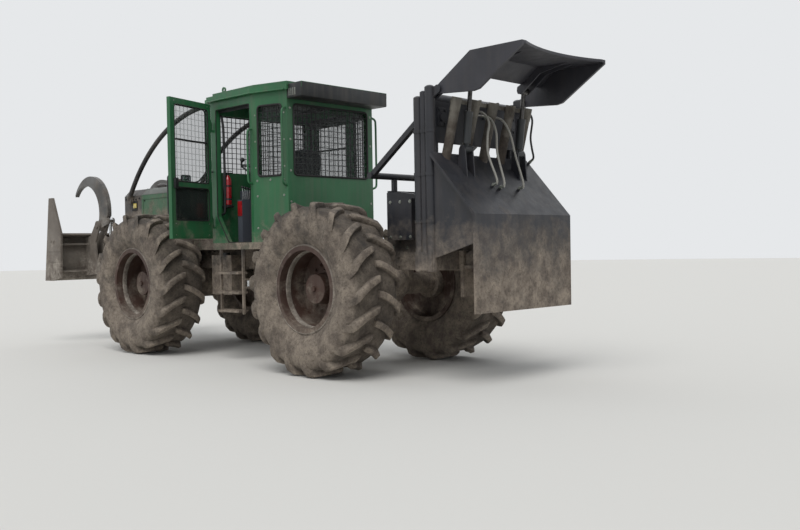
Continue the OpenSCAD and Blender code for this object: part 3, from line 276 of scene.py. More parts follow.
def dirty(name, paint, faded, mud, low, high, cover, rough=0.45, metal=0.0, chip=None, chips=0.0,
          dry=None, spread=1.0, rise=0.004, streak=0.3, relief=None):
    """Paint, steel or rubber with weather and mud. The mud is full below low and gone above high, in metres
    from the ground, and cover adds to it. chips is the share where the chip colour shows, and relief names
    the attribute that is 1 on what is raised; painted shade darkens the gaps where it is low."""
    tree = new_finish(name)
    where = add(tree, "ShaderNodeTexCoord", out="Object")
    height = add(tree, "ShaderNodeSeparateXYZ", {0: where}, 2)
    cloud = {what: add(tree, "ShaderNodeTexNoise", {"Vector": where, "Scale": 1000 / wide, "Detail": detail,
                                                    "Roughness": coarse})
             for what, (wide, detail, coarse) in WEATHER.items()}
    # sun fades the paint in wide patches
    fading = add(tree, "ShaderNodeMapRange", {0: cloud["fading"], 1: 0.35, 2: 0.7})
    base = add(tree, "ShaderNodeMix", {0: fading, 6: paint, 7: faded}, 2, data_type="RGBA")
    # rain draws streaks of mud down a wall
    drawn = add(tree, "ShaderNodeMapping", {"Vector": where, "Scale": [1000 / size for size in STREAK_SIZE]})
    streaks = add(tree, "ShaderNodeTexNoise", {"Vector": drawn, "Scale": 1.0, "Detail": 4.0,
                                               "Roughness": 0.55})
    streaks = add(tree, "ShaderNodeMapRange", {0: streaks, 1: 0.45, 2: 0.75, 4: streak})
    base = add(tree, "ShaderNodeMix", {0: streaks, 6: base, 7: mud}, 2, data_type="RGBA")
    if chip:
        # flakes of paint are knocked off
        flakes = add(tree, "ShaderNodeMapRange", {0: cloud["flakes"], 1: 0.72 - chips, 2: 0.75 - chips})
        base = add(tree, "ShaderNodeMix", {0: flakes, 6: base, 7: chip}, 2, data_type="RGBA")
    # mud reaches up in patches
    above = add(tree, "ShaderNodeMapRange", {0: height, 1: high, 2: low})
    level = add(tree, "ShaderNodeMath", {0: cloud["patches"], 1: 2.2 * spread, 2: above},
                operation="MULTIPLY_ADD")
    level = add(tree, "ShaderNodeMath", {0: level, 1: cover - 1.0 - 1.1 * spread})
    mask = add(tree, "ShaderNodeMapRange", {0: level, 1: -0.2, 2: 0.28})
    # it is wet or dry clay with dark crumbs in it
    dried = add(tree, "ShaderNodeMapRange", {0: cloud["clods"], 1: 0.38, 2: 0.62})
    soil = add(tree, "ShaderNodeMix", {0: dried, 6: mud, 7: dry or mud}, 2, data_type="RGBA")
    crumbs = add(tree, "ShaderNodeMapRange", {0: cloud["crumbs"], 1: 0.5, 2: 0.34, 4: 0.55})
    soil = add(tree, "ShaderNodeMix", {0: crumbs, 6: soil, 7: DARK_CRUMB}, 2, data_type="RGBA")
    shade = add(tree, "ShaderNodeMix", {0: mask, 6: base, 7: soil}, 2, data_type="RGBA")
    if relief:
        # painted shade: the gaps below what is raised are darkened towards a dark brown, as shade falls there
        raised = add(tree, "ShaderNodeAttribute", out="Fac", attribute_name=relief)
        gap_shade = add(tree, "ShaderNodeMapRange", {0: raised, 1: 0.8, 2: 0.0, 4: 0.58})
        shade = add(tree, "ShaderNodeMix", {0: gap_shade, 6: shade, 7: PAINTED_GAP_SHADE}, 2, data_type="RGBA")
    # paint keeps some gloss and mud has none
    gloss = add(tree, "ShaderNodeMapRange", {0: cloud["gloss"], 1: 0.2, 2: 0.8, 3: rough - 0.1,
                                             4: rough + 0.15})
    roughness = add(tree, "ShaderNodeMix", {0: mask, 2: gloss, 3: 0.95}, data_type="FLOAT")
    thick = add(tree, "ShaderNodeMath", {0: cloud["crumbs"], 1: 0.5})
    crust = add(tree, "ShaderNodeMath", {0: mask, 1: thick}, operation="MULTIPLY")
    bump = add(tree, "ShaderNodeBump", {"Height": crust, "Distance": rise, "Strength": 0.9})
    bump = add(tree, "ShaderNodeBump", {"Height": cloud["grit"], "Distance": 0.0006, "Strength": 0.5,
                                        "Normal": bump})
    inputs = {"Base Color": shade, "Roughness": roughness, "Normal": bump}
    if metal:
        inputs["Metallic"] = add(tree, "ShaderNodeMapRange", {0: mask, 3: metal, 4: 0.0})
    shader = add(tree, "ShaderNodeBsdfPrincipled", inputs)
    add(tree, "ShaderNodeOutputMaterial", {"Surface": shader})


def plain(name, base, second, rough, metal=0.0, grain=33.3, rise=0.0005, alpha=1.0, coat=0.0):
    """A clean surface whose colour, gloss and height vary a little; grain is their width in millimetres."""
    tree = new_finish(name)
    where = add(tree, "ShaderNodeTexCoord", out="Object")
    fine = add(tree, "ShaderNodeTexNoise", {"Vector": where, "Scale": 1000 / grain, "Detail": 5.0})
    shade = add(tree, "ShaderNodeValToRGB", {0: fine}, stops=[(0.35, base), (0.7, second)])
    roughness = add(tree, "ShaderNodeMapRange", {0: fine, 3: max(0.02, rough - 0.08), 4: rough + 0.1})
    bump = add(tree, "ShaderNodeBump", {"Height": fine, "Distance": rise, "Strength": 0.6})
    inputs = {"Base Color": shade, "Roughness": roughness, "Metallic": metal, "Normal": bump, "Alpha": alpha,
              "Coat Weight": coat}
    shader = add(tree, "ShaderNodeBsdfPrincipled", inputs)
    add(tree, "ShaderNodeOutputMaterial", {"Surface": shader})


def make_paints(paint):
    mud, dry = paint.mud_code, paint.dry_code
    # sprayed two-part enamel: an even satin green, dark where a chip shows the primer
    dirty("green_enamel", paint.green_code, "#2C6A42", mud, 0.9, 2.1, 0.30, 0.36, chip="#1B2A20", dry=dry)
    # the same enamel baked by the engine: greyer and chalky, with clay thrown up by the front wheels
    dirty("weathered_green_enamel", "#2F5A3C", "#41664A", mud, 1.3, 2.35, 0.52, 0.5, chip="#22302A",
          chips=0.01, dry=dry)
    # the same enamel on the floor, darker as painted shade inside the cab, and half hidden by clay
    dirty("green_enamel_painted_shade", "#1A3A26", "#21452E", mud, 0.9, 1.9, 0.7, 0.5, dry=dry)
    # grey chassis enamel: matt, and brown to half its height with clay
    dirty("clay_on_grey_enamel", "#413F3E", "#524F4D", mud, 1.4, 2.3, 0.55, 0.6, dry=dry)
    # black chassis enamel low on the machine: little of it shows through the clay
    dirty("clay_on_black_enamel", "#232323", "#2E2D2B", mud, 0.7, 1.6, 0.75, 0.6, dry=dry)
    # sprayed black enamel: satin, with few scratches; its bluish tint is a painted reflection of the sky
    dirty("black_enamel", "#1B1C20", "#2A2B31", mud, 0.9, 2.3, 0.3, 0.42, chip="#55504B", chips=-0.02,
          dry=dry, spread=0.45, streak=0.14)
    # black enamel over a wrinkled primer: matt and even
    dirty("matt_black_enamel", "#17191A", "#26292A", mud, 1.2, 2.6, 0.0, 0.5, dry=dry)
    # slate grey enamel of the log shield: satin, nearly clean
    dirty("slate_enamel", "#28282D", "#36363C", mud, 1.4, 2.8, 0.05, 0.46, chip="#605A55", chips=-0.02,
          dry=dry, spread=0.5, streak=0.1)
    # black enamel of the limb risers, scratched to the steel by bark
    dirty("scratched_black_enamel", "#1C1B1E", "#2F2C2C", mud, 1.8, 3.2, 0.2, 0.45, chip="#5E5248",
          chips=0.02, dry=dry)
    # grey enamel under settled dust: pale and without gloss
    dirty("dusty_grey_enamel", "#4A4E4A", "#5C605B", mud, 1.5, 2.4, 0.35, 0.55, dry=dry)
    # old cream enamel: drab, with dark rope grease run down it
    dirty("cream_enamel", "#5F5B53", "#7C776C", "#342E2A", 1.9, 3.1, 0.55, 0.55, chip="#453A33", chips=0.05,
          dry="#504840", streak=0.75)
    # black enamel of the cylinders, wiped by oil and dusted with clay
    dirty("cylinder_enamel", "#232628", "#2F3234", mud, 0.8, 2.2, 0.4, 0.45, dry=dry)


def make_bare_surfaces(paint):
    mud, dry = paint.mud_code, paint.dry_code
    # rolled plate polished by soil: grey, with rust spots and pale dried clay
    dirty("clay_on_bare_steel", "#5A5149", "#7C756C", mud, 0.6, 2.0, 0.45, 0.62, chip="#6E4A32", chips=0.06,
          dry="#A39B90")
    # flame-cut plate abraded by bark: it gleams a little between the clay
    dirty("abraded_steel", "#4C4B49", "#737270", mud, 1.2, 2.6, 0.55, 0.5, 0.35, chip="#7B5A42", chips=0.04,
          dry="#8C8780")
    # moulded natural rubber: grey with clay, and painted shade darkening the gaps between the lugs
    dirty("muddy_rubber", "#33302D", "#443F3B", mud, -0.6, 2.4, 0.9, 0.8, dry=dry, rise=0.012,
          relief="raised")
    # pressed steel with its paint gone: dark red-brown rust
    dirty("rusted_steel", "#38261F", "#4A342A", mud, 0.2, 1.9, 0.26, 0.6, chip="#6A4029", chips=0.05, dry=dry)
    # turned steel rubbed by the rope: bright metal with grease and rust
    dirty("rope_worn_steel", "#5B5955", "#77736D", "#4A3E35", 1.3, 2.2, 0.3, 0.45, 0.8, chip="#6B4A35",
          chips=0.05)
    # drawn wire in oil: it glints along its turns
    plain("drawn_steel_wire", "#4A4743", "#8B857C", 0.45, 0.8, 3.85, 0.002)
    # hard chrome on a ground rod: a clear, slightly soft mirror
    plain("hard_chrome", "#B9BBBC", "#E3E5E6", 0.16, 1.0, 55.6, 0.0001)
    # ground steel under old oil: a dark, blurred mirror
    plain("oiled_steel", "#3E3D3C", "#5E5C5A", 0.32, 0.9, 25, 0.0004)
    # zinc-plated bolt steel: pale grey with a soft glint
    plain("zinc_plated_steel", "#8D9089", "#B6B9AF", 0.38, 0.85, 11.1)
    # toughened glass: dark, clear and a little dusty
    plain("toughened_glass", "#2A3430", "#46514B", 0.08, 0.0, 500, 0.0001, alpha=0.26, coat=0.3)
    # silvered mirror glass: a bright mirror
    plain("silvered_glass", "#C9D2D8", "#DDE4E8", 0.05, 1.0, 500, 0.0)
    # blackened welded wire: black with a dull shine
    plain("blackened_wire", "#121314", "#232425", 0.5, 0.3, 16.7)
    # extruded rubber: black, nearly without gloss
    plain("seal_rubber", "#141414", "#222120", 0.7, 0.0, 11.1)
    plain("hose_rubber", "#1C1C1D", "#2B2A2A", 0.55, 0.0, 8.33)
    # woven nylon sleeve over a hose: pale grey and matt
    plain("woven_nylon_sleeve", "#8B8982", "#A9A69D", 0.6, 0.0, 6.67, 0.001)
    # moulded polypropylene with a grained surface: even and dull
    plain("black_polypropylene", "#151617", "#202122", 0.5, 0.0, 4.55)
    plain("grey_polypropylene", "#43474F", "#565A63", 0.5, 0.0, 5)
    # powder-coated steel of the bottle and the switch plate: bright red under a clear gloss
    plain("red_enamel", "#8E1119", "#B01C22", 0.28, 0.0, 125, 0.0002, coat=0.5)
    # moulded polycarbonate lenses: ribbed and glossy
    plain("amber_polycarbonate", "#B9A24A", "#D8CC7C", 0.2, 0.0, 16.7, 0.001, coat=0.6)
    plain("clear_polycarbonate", "#B9C0C2", "#E4E8E9", 0.12, 0.2, 16.7, 0.001, coat=0.8)
    # woven polyester seat cloth: soft, dark and rough
    plain("woven_polyester", "#1D1E22", "#33343A", 0.9, 0.0, 2.38, 0.0012)


NODE_FINISH = {
    "green_enamel": "cab_walls cab_roof door_left door_right",
    "weathered_green_enamel": "hood",
    "green_enamel_painted_shade": "cab_floor",
    "clay_on_grey_enamel": "nose",
    "clay_on_bare_steel": "blade blade_arms blade_links",
    "clay_on_black_enamel": "rear_frame rear_axle front_frame front_axle engine steps_tank",
    "abraded_steel": "claws",
    "black_enamel": "tower butt_plate winch_housing",
    "slate_enamel": "shield",
    "scratched_black_enamel": "limb_risers",
    "cream_enamel": "guide_tubes",
    "muddy_rubber": "tyre_fl tyre_fr tyre_rl tyre_rr",
    "rusted_steel": "rim_fl rim_fr rim_rl rim_rr",
    "rope_worn_steel": "winch_drum",
    "hard_chrome": "lift_rods claw_rods steer_rod_left steer_rod_right",
    "oiled_steel": "shield_rods",
    "cylinder_enamel": "lift_barrels claw_barrels shield_barrels steer_barrel_left steer_barrel_right",
    "toughened_glass": "cab_windows door_left_window door_right_window",
    "blackened_wire": "cab_guards",
    "woven_polyester": "seat",
    "grey_polypropylene": "console",
    "black_polypropylene": "steering_wheel",
    "woven_nylon_sleeve": "hose_left hose_mid hose_right",
    "hose_rubber": "hose_outer",
}


# Sizes and colours a user may change


def shade_prop(name, default, description):
    return bpy.props.StringProperty(name=name, default=default, description=description, maxlen=7)


class SkidderPaint(bpy.types.PropertyGroup):
    """Colours of the machine."""

    green_code: shade_prop("Enamel", "#255C39", "Main enamel of the cab and doors, as sRGB hex")
    mud_code: shade_prop("Wet clay", "#655B52", "Clay that covers the running gear, as sRGB hex")
    dry_code: shade_prop("Dry clay", "#938779", "Clay where it has dried, as sRGB hex")


class SkidderTrim(bpy.types.PropertyGroup):
    """Sizes of the small parts."""

    handle: bpy.props.FloatProperty(name="Handle", default=0.026, min=0.015, max=0.04, unit="LENGTH",
                                    description="Thickness of the grab handles")
    seal: bpy.props.FloatProperty(name="Seal", default=0.024, min=0.01, max=0.03, unit="LENGTH",
                                  description="Thickness of the window seals")
    bolt: bpy.props.FloatProperty(name="Bolt", default=0.009, min=0.006, max=0.02, unit="LENGTH",
                                  description="Radius of a bolt's head on the cab")
    nuts: bpy.props.IntProperty(name="Wheel nuts", default=16, min=8, max=24,
                                description="Nuts round each wheel's disc")


class SkidderTread(bpy.types.PropertyGroup):
    """Tread of the tyres."""

    lugs: bpy.props.IntProperty(name="Lugs", default=18, min=14, max=20,
                                description="Lugs on each side of a tyre")
    radius: bpy.props.FloatProperty(name="Radius", default=0.9, min=0.86, max=0.92, unit="LENGTH",
                                    description="Radius over the lugs")
    half_width: bpy.props.FloatProperty(name="Half width", default=0.31, min=0.28, max=0.32, unit="LENGTH",
                                        description="Half of the tyre's width")
    clay: bpy.props.FloatProperty(name="Clay", default=0.012, min=0.0, max=0.02, unit="LENGTH",
                                  description="Depth of the clay left between the lugs")


GROUPS = {"skidder_paint": SkidderPaint, "skidder_trim": SkidderTrim, "skidder_tread": SkidderTread}


# Stage

# The photo's viewpoint: turns in degrees, its place in the drawing's millimetres and the lens in millimetres
VIEW_TURN = 45.64
VIEW_DROP = 1.22
VIEW_ROLL = -0.98
VIEW_PLACE = (-8877, 7059, 1331)
VIEW_LENS = 40.7
FLOOR_RADIUS = 60.0


class SKIDDER_OT_stage(bpy.types.Operator):
    """Sets up the camera, the floor and the soft light"""

    bl_idname = "skidder.stage"
    bl_label = "Stage"
    bl_options = {"REGISTER", "UNDO"}

    def execute(self, context):
        scene = context.scene
        turn, drop, roll = (math.radians(a) for a in (VIEW_TURN, VIEW_DROP, VIEW_ROLL))
        level = Vector((math.cos(turn), -math.sin(turn), 0))
        right = Vector((level.y, -level.x, 0))
        up = Vector((0, 0, 1))
        ahead = level * math.cos(drop) - up * math.sin(drop)
        over = up * math.cos(drop) + level * math.sin(drop)
        right, over = (right * math.cos(roll) + over * math.sin(roll),
                       over * math.cos(roll) - right * math.sin(roll))
        lens = bpy.data.cameras.new("photo_view")
        lens.lens, lens.sensor_width, lens.clip_end = VIEW_LENS, 36.0, 300.0
        camera = bpy.data.objects.new("photo_view", lens)
        scene.collection.objects.link(camera)
        camera.matrix_world = Matrix((right, over, -ahead)).transposed().to_4x4()
        camera.location = at(*VIEW_PLACE)
        scene.camera = camera
        scene.view_settings.view_transform = "Standard"

        ground = bmesh.new()
        bmesh.ops.create_circle(ground, cap_ends=True, segments=96, radius=FLOOR_RADIUS)
        mesh = bpy.data.meshes.new("studio_floor")
        ground.to_mesh(mesh)
        ground.free()
        floor = bpy.data.objects.new("studio_floor", mesh)
        scene.collection.objects.link(floor)
        # matt floor paint: pale, so that only the soft shadow shows
        tree = new_finish("floor_paint")
        shader = add(tree, "ShaderNodeBsdfPrincipled", {"Base Color": "#CFCDC8", "Roughness": 0.95,
                                                        "Specular IOR Level": 0.1})
        add(tree, "ShaderNodeOutputMaterial", {"Surface": shader})
        mesh.materials.append(FINISH["floor_paint"])

        sky = bpy.data.worlds.new("overcast")
        scene.world = sky
        sky.use_nodes = True
        tree = sky.node_tree
        tree.nodes.clear()
        # the pale background is also what glass and gloss show
        seen = add(tree, "ShaderNodeLightPath", out="Is Camera Ray")
        for ray in ("Is Transmission Ray", "Is Glossy Ray"):
            through = add(tree, "ShaderNodeLightPath", out=ray)
            seen = add(tree, "ShaderNodeMath", {0: seen, 1: through}, operation="MAXIMUM")
        light = add(tree, "ShaderNodeBackground", {"Color": "#E4E9EF", "Strength": 0.62})
        shown = add(tree, "ShaderNodeBackground", {"Color": "#E6E8EA", "Strength": 1.0})
        both = add(tree, "ShaderNodeMixShader", {0: seen, 1: light, 2: shown})
        add(tree, "ShaderNodeOutputWorld", {"Surface": both})
        for name, power, spread, aim in (("overcast_sun", 1.9, 40, (0.35, -0.55, -1.0)),
                                         ("sky_behind", 0.7, 90, (-0.8, 0.5, -0.6))):
            lamp = bpy.data.lights.new(name, "SUN")
            lamp.energy, lamp.angle = power, math.radians(spread)
            sun = bpy.data.objects.new(name, lamp)
            sun.matrix_world = place((0, 0, 8), -Vector(aim))
            scene.collection.objects.link(sun)
        return {"FINISHED"}


class SKIDDER_OT_finishes(bpy.types.Operator):
    """Gives every solid of the frame its paint, rubber, glass or steel"""

    bl_idname = "skidder.finishes"
    bl_label = "Finishes"
    bl_options = {"REGISTER", "UNDO"}

    def execute(self, context):
        make_paints(context.scene.skidder_paint)
        make_bare_surfaces(context.scene.skidder_paint)
        for finish, names in NODE_FINISH.items():
            for name in names.split():
                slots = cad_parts[name].data.materials
                slots.clear()
                slots.append(FINISH[finish])
        return {"FINISHED"}


# Hoses

# Middle lines of the free hoses, as they are drawn in the solids
HOSE_WAYS = {
    "hose_left": ((-3120.3, 185, 2640), (-3185, 185, 2640), (-3325, 190, 2600), (-3405, 205, 2500),
                  (-3425, 255, 2370), (-3430, 255, 2190), (-3500.6, 215, 1940.3), (-3456.2, 215, 1900.4)),
    "hose_mid": ((-3120.3, 95, 2600), (-3185, 95, 2600), (-3330, 98, 2560), (-3420, 118, 2420),
                 (-3445, 133, 2200), (-3520.6, 128, 1918.1), (-3476.2, 128, 1878.2)),
    "hose_right": ((-3120.3, -95, 2600), (-3185, -95, 2600), (-3325, -98, 2560), (-3410, -115, 2420),
                   (-3440, -160, 2200), (-3520.6, -175, 1918.1), (-3476.2, -175, 1878.2)),
    "hose_outer": ((-3150.3, -722, 2700), (-3200, -722, 2700), (-3232, -735, 2620), (-3200, -745, 2450),
                   (-3215, -745, 2330), (-3240.6, -735, 2229.4), (-3196.2, -735, 2189.5)),
}
HOSE_THICK = 0.022


class SKIDDER_OT_hoses(bpy.types.Operator):
    """Free hoses of the tower with the crimped unions at their ends"""

    bl_idname = "skidder.hoses"
    bl_label = "Hoses"
    bl_options = {"REGISTER", "UNDO"}

    def execute(self, context):
        unions = bmesh.new()
        for name, way in HOSE_WAYS.items():
            route = rounded([at(*knot) for knot in way])
            finish = "hose_rubber" if name == "hose_outer" else "woven_nylon_sleeve"
            hose = pipes("free_" + name, [route], HOSE_THICK, finish, "rear", False)
            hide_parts(name)
            for end, inner in ((route[0], route[1]), (route[-1], route[-2])):
                out = (inner - end).normalized()
                disc(unions, end - out * 0.012, out, 0.0185, 0.02, 6)
                disc(unions, end + out * 0.008, out, 0.0145, 0.034, 20, 0.0132)
        new_piece("hose_unions", unions, "zinc_plated_steel", "rear")
        return {"FINISHED"}


# Wheels

# Metres, apart from the shoulder, which is the share of a lug's length where it bends over
TREAD_DEPTH = 0.06
LUG_SHOULDER = 0.72
LUG_INSET = 0.03
LUG_MEAN_RADIUS = 0.87


def lug_bar():
    """A straight bar with rounded long edges, one unit each way, that every lug is bent from."""
    shape = bmesh.new()
    bmesh.ops.create_cube(shape, size=1)
    long_edges = [e for e in shape.edges if e.verts[0].co.y != e.verts[1].co.y]
    bmesh.ops.subdivide_edges(shape, edges=long_edges, cuts=9)
    corners = [e for e in shape.edges if e.calc_face_angle(0) > 1.0 and e.verts[0].co.y != e.verts[1].co.y]
    bmesh.ops.bevel(shape, geom=corners, offset=0.17, segments=2, profile=0.5, affect="EDGES", material=-1)
    mesh = bpy.data.meshes.new("lug_bar")
    shape.to_mesh(mesh)
    shape.free()
    return mesh


def bend_lug(verts, tread, i, s, centre):
    """Bends a bar to lug i of one side, from the tread's middle over the shoulder to the side wall."""
    start = (i + (0.5 if s > 0 else 0.0)) * 2 * math.pi / tread.lugs
    base, edge = tread.radius - TREAD_DEPTH, tread.half_width - LUG_INSET
    for v in verts:
        t, top = v.co.y + 0.5, v.co.z > 0
        low, high, y = base - 0.02, tread.radius, max(0.0, t / LUG_SHOULDER) * edge
        if t > LUG_SHOULDER:
            # past the shoulder the lug turns down the side wall
            u = (t - LUG_SHOULDER) / (1 - LUG_SHOULDER)
            y = edge + 0.034 * math.sin(u * math.pi / 2) - (0.0 if top else 0.03 * u)
            low, high = low - 0.085 * u ** 1.5, high - 0.15 * u ** 1.7
        high -= 0.003 + 0.022 * max(0.0, 1 - t / 0.05)
        r = low + (v.co.z + 0.5) * (high - low)
        r += 0.003 * noise.noise(Vector((i * 3.1, t * 6.0, s * 2.0 + v.co.z)))
        sweep = 0.135 - 0.29 * t ** 1.15 + 0.03 * math.sin(t * math.pi)
        width = 0.078 * (0.86 + 0.3 * t) * (1.0 if top else 1.22)
        angle = start + sweep + v.co.x * width / LUG_MEAN_RADIUS
        v.co = centre + Vector((r * math.sin(angle), s * (y - 0.012), r * math.cos(angle)))


def tyre_shape(tread, centre):
    """One tyre about the Y axis through its centre; the lugs' inner ends lead when it rolls forward."""
    shape = bmesh.new()
    base = tread.radius - TREAD_DEPTH
    profile = [(0.4205, -0.228), (0.462, -0.231), (0.478, -0.246), (0.55, -0.288), (0.62, -0.303),
               (0.70, -0.306), (0.76, -0.298), (0.80, -0.280), (0.828, -0.250), (0.840, -0.215),
               (base, -0.12)]
    profile += [(r, -a) for r, a in reversed(profile)]
    lathe(shape, profile, centre, (0, 1, 0), 90)
    wide = [e for e in shape.edges if e.calc_length() > 0.09]
    bmesh.ops.subdivide_edges(shape, edges=wide, cuts=1, use_grid_fill=True)
    for v in shape.verts:
        away = v.co - centre
        out = Vector((away.x, 0, away.z))
        if out.length > 0.55:
            lump = noise.fractal(v.co * 7.0, 1.0, 2.0, 3)
            v.co += out.normalized() * max(0.0, lump) * tread.clay * 1.6
    bar = lug_bar()
    for s in (-1, 1):
        for i in range(tread.lugs):
            first = len(shape.verts)
            shape.from_mesh(bar)
            shape.verts.ensure_lookup_table()
            bend_lug(shape.verts[first:], tread, i, s, centre)
    bpy.data.meshes.remove(bar)
    # how far each point stands over the tread's base; the rubber's finish reads it to paint shade in the gaps
    raised = shape.verts.layers.float.new("raised")
    for v in shape.verts:
        away = v.co - centre
        high = (math.hypot(away.x, away.z) - base) / (tread.radius - base)
        v[raised] = high if high > -0.2 else min(0.62, 0.3 - high * 0.3)
    return shape


WHEELS = {"fl": (1, 1), "fr": (1, -1), "rl": (-1, 1), "rr": (-1, -1)}
# The disc's outer face from the wheel's middle, and the radii of its circles of nuts and of hub bolts
DISC_FACE = -0.086
NUT_CIRCLE, HUB_CIRCLE = 0.262, 0.125


class SKIDDER_OT_tyres(bpy.types.Operator):
    """Moulded tyres with hooked lugs that wrap over the shoulders, and clay between them"""

    bl_idname = "skidder.tyres"
    bl_label = "Tyres"
    bl_options = {"REGISTER", "UNDO"}

    def execute(self, context):
        for name, (end, s) in WHEELS.items():
            shape = tyre_shape(context.scene.skidder_tread, at(end * AXLE_X, s * WHEEL_Y, AXLE_Z))
            tyre = new_piece("tyre_dressed_" + name, shape, "muddy_rubber", "wheel_" + name,
                             creases=42)
            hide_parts("tyre_" + name)
        return {"FINISHED"}


class SKIDDER_OT_wheels(bpy.types.Operator):
    """Nuts, hub bolts, fill plugs, valves and flange beads of the wheels"""

    bl_idname = "skidder.wheels"
    bl_label = "Wheels"
    bl_options = {"REGISTER", "UNDO"}

    def execute(self, context):
        nuts = context.scene.skidder_trim.nuts
        for name, (end, s) in WHEELS.items():
            centre = at(end * AXLE_X, s * WHEEL_Y, AXLE_Z)
            face = centre + Vector((0, s * DISC_FACE, 0))
            turns = [2 * math.pi * i / nuts for i in range(nuts)]
            ring = [face + NUT_CIRCLE * Vector((math.sin(a), 0, math.cos(a))) for a in turns]
            shape = bmesh.new()
            bolts(shape, ring, (0, s, 0), 0.019)
            turns = [2 * math.pi * i / 12 for i in range(12)]
            cap = face + Vector((0, s * 0.151, 0))
            bolts(shape, [cap + HUB_CIRCLE * Vector((math.sin(a), 0, math.cos(a))) for a in turns], (0, s, 0),
                  0.012)
            # studs stand past the nuts
            for spot in ring:
                disc(shape, spot, (0, s, 0), 0.009, 0.028, 10)
            plug, valve = face + Vector((0, s * 0.19, 0)), face + Vector((0.345, 0, 0.05))
            disc(shape, plug, (0, s, 0), 0.03, 0.022, 6, 0.028)
            disc(shape, valve, (0, s, 0), 0.006, 0.06, 8)
            new_piece("wheel_nuts_" + name, shape, "rusted_steel", "wheel_" + name)
            shape = bmesh.new()
            bead = [(0.436, 0.240), (0.452, 0.2475), (0.464, 0.2405), (0.468, 0.232), (0.458, 0.231),
                    (0.437, 0.2365)]
            lathe(shape, bead + bead[:1], centre, (0, s, 0), 72)
            rim_step = [(0.3995, 0.10), (0.385, 0.105), (0.381, 0.13), (0.385, 0.155), (0.3995, 0.16)]
            lathe(shape, rim_step, centre, (0, s, 0), 72)
            new_piece("rim_beads_" + name, shape, "clay_on_bare_steel", "wheel_" + name)
        return {"FINISHED"}


# Outside of the cab


class SKIDDER_OT_window_seals(bpy.types.Operator):
    """Rubber seals round the cab's windows and door openings"""

    bl_idname = "skidder.window_seals"
    bl_label = "Window seals"
    bl_options = {"REGISTER", "UNDO"}

    def execute(self, context):
        side_window = ((80, 2150), (424, 2150), (424, 2950), (80, 2950))
        loops = [[on_slant(a, 2, z, s) for a, z in side_window] for s in (1, -1)]
        loops.append([at(-892, y, z) for y, z in ((-570, 2150), (570, 2150), (570, 2950), (-570, 2950))])
        loops.append([at(432, y, z) for y, z in ((-680, 2250), (680, 2250), (680, 2950), (-680, 2950))])
        pipes("window_seals", [eased(r, 0.05, True) for r in loops], context.scene.skidder_trim.seal,
              "seal_rubber", "front", smooth=False, closed=True)
        doorways = sides((330, 776, 1725), (330, 776, 2998), (-348, 776, 2998), (-348, 776, 1404),
                         (110, 776, 1404))
        pipes("door_seals", [eased(r, 0.04, True) for r in doorways], 0.012, "seal_rubber", "front",
              smooth=False, closed=True)
        return {"FINISHED"}


class SKIDDER_OT_handles(bpy.types.Operator):
    """Rain gutter, grab handles and entry bars of the cab"""

    bl_idname = "skidder.handles"
    bl_label = "Gutter and handles"
    bl_options = {"REGISTER", "UNDO"}

    def execute(self, context):
        gutter = [at(x, y, 3104) for x, y in ((-890, 700), (-404, 820), (470, 820), (470, -820), (-404, -820),
                                              (-890, -700))]
        pipes("roof_gutter", [eased(gutter, 0.03)], 0.018, "green_enamel", "front", False)
        rail = ((26, 0, 2905), (26, 62, 2880), (26, 66, 2790), (26, 66, 2150), (26, 62, 2055), (26, 0, 2030))
        handles = [[on_slant(a, o, z, s) for a, o, z in rail] for s in (1, -1)]
        handles += sides((-387, 775, 2700), (-387, 834, 2688), (-387, 842, 2610), (-387, 842, 2160),
                         (-387, 834, 2082), (-387, 775, 2070))
        pipes("grab_handles", [eased(r, 0.05) for r in handles], context.scene.skidder_trim.handle,
              "green_enamel", "front", False)
        bars = sides((362, 705, 2940), (318, 700, 2930), (300, 690, 2800), (286, 690, 2100), (300, 690, 1760),
                     (362, 700, 1740))
        pipes("entry_bars", [eased(r, 0.08) for r in bars], 0.03, "black_polypropylene", "front",
              False)
        return {"FINISHED"}


class SKIDDER_OT_cab_bolts(bpy.types.Operator):
    """Bolts of the cab's panels and window frames"""

    bl_idname = "skidder.cab_bolts"
    bl_label = "Cab bolts"
    bl_options = {"REGISTER", "UNDO"}

    def execute(self, context):
        head = context.scene.skidder_trim.bolt
        panel = [(60, 2100), (440, 2100), (60, 1925), (440, 1925), (60, 1560), (440, 1560), (250, 2105)]
        window = [(a, z) for a in (45, 462) for z in (2250, 2550, 2850)]
        shape = bmesh.new()
        for s in (1, -1):
            out = on_slant(0, 1, 0, s) - on_slant(0, 0, 0, s)
            bolts(shape, [on_slant(a, 0, z, s) for a, z in panel], out, head)
            bolts(shape, [on_slant(a, 0, z, s) for a, z in window], out, head * 0.7)
        rear = [at(-890, y, z) for y in (-620, 620) for z in (2200, 2550, 2900, 1560, 1850)]
        bolts(shape, rear, (-1, 0, 0), head)
        bolts(shape, [at(430, y, z) for y in (-735, 735) for z in (2300, 2600, 2900)], (1, 0, 0), head)
        new_piece("cab_bolts", shape, "zinc_plated_steel", "front")
        return {"FINISHED"}


class SKIDDER_OT_air_box(bpy.types.Operator):
    """Black box over the roof's rear overhang, as dark as the overhang looks, with pale slots in its sides"""

    bl_idname = "skidder.air_box"
    bl_label = "Air box"
    bl_options = {"REGISTER", "UNDO"}

    def execute(self, context):
        shape, slots = bmesh.new(), bmesh.new()
        box(shape, at(-1152, -663, 3001), at(-892, 663, 3166), 0.012)
        for s in (1, -1):
            for i in range(4):
                box(slots, at(-944 - 34 * i, s * 662, 3025), at(-934 - 34 * i, s * 666, 3108), 0.002)
        # black as the overhang looks; the roof under it is green enamel
        new_piece("rear_air_box", shape, "matt_black_enamel", "front")
        new_piece("air_box_slots", slots, "zinc_plated_steel", "front")
        return {"FINISHED"}


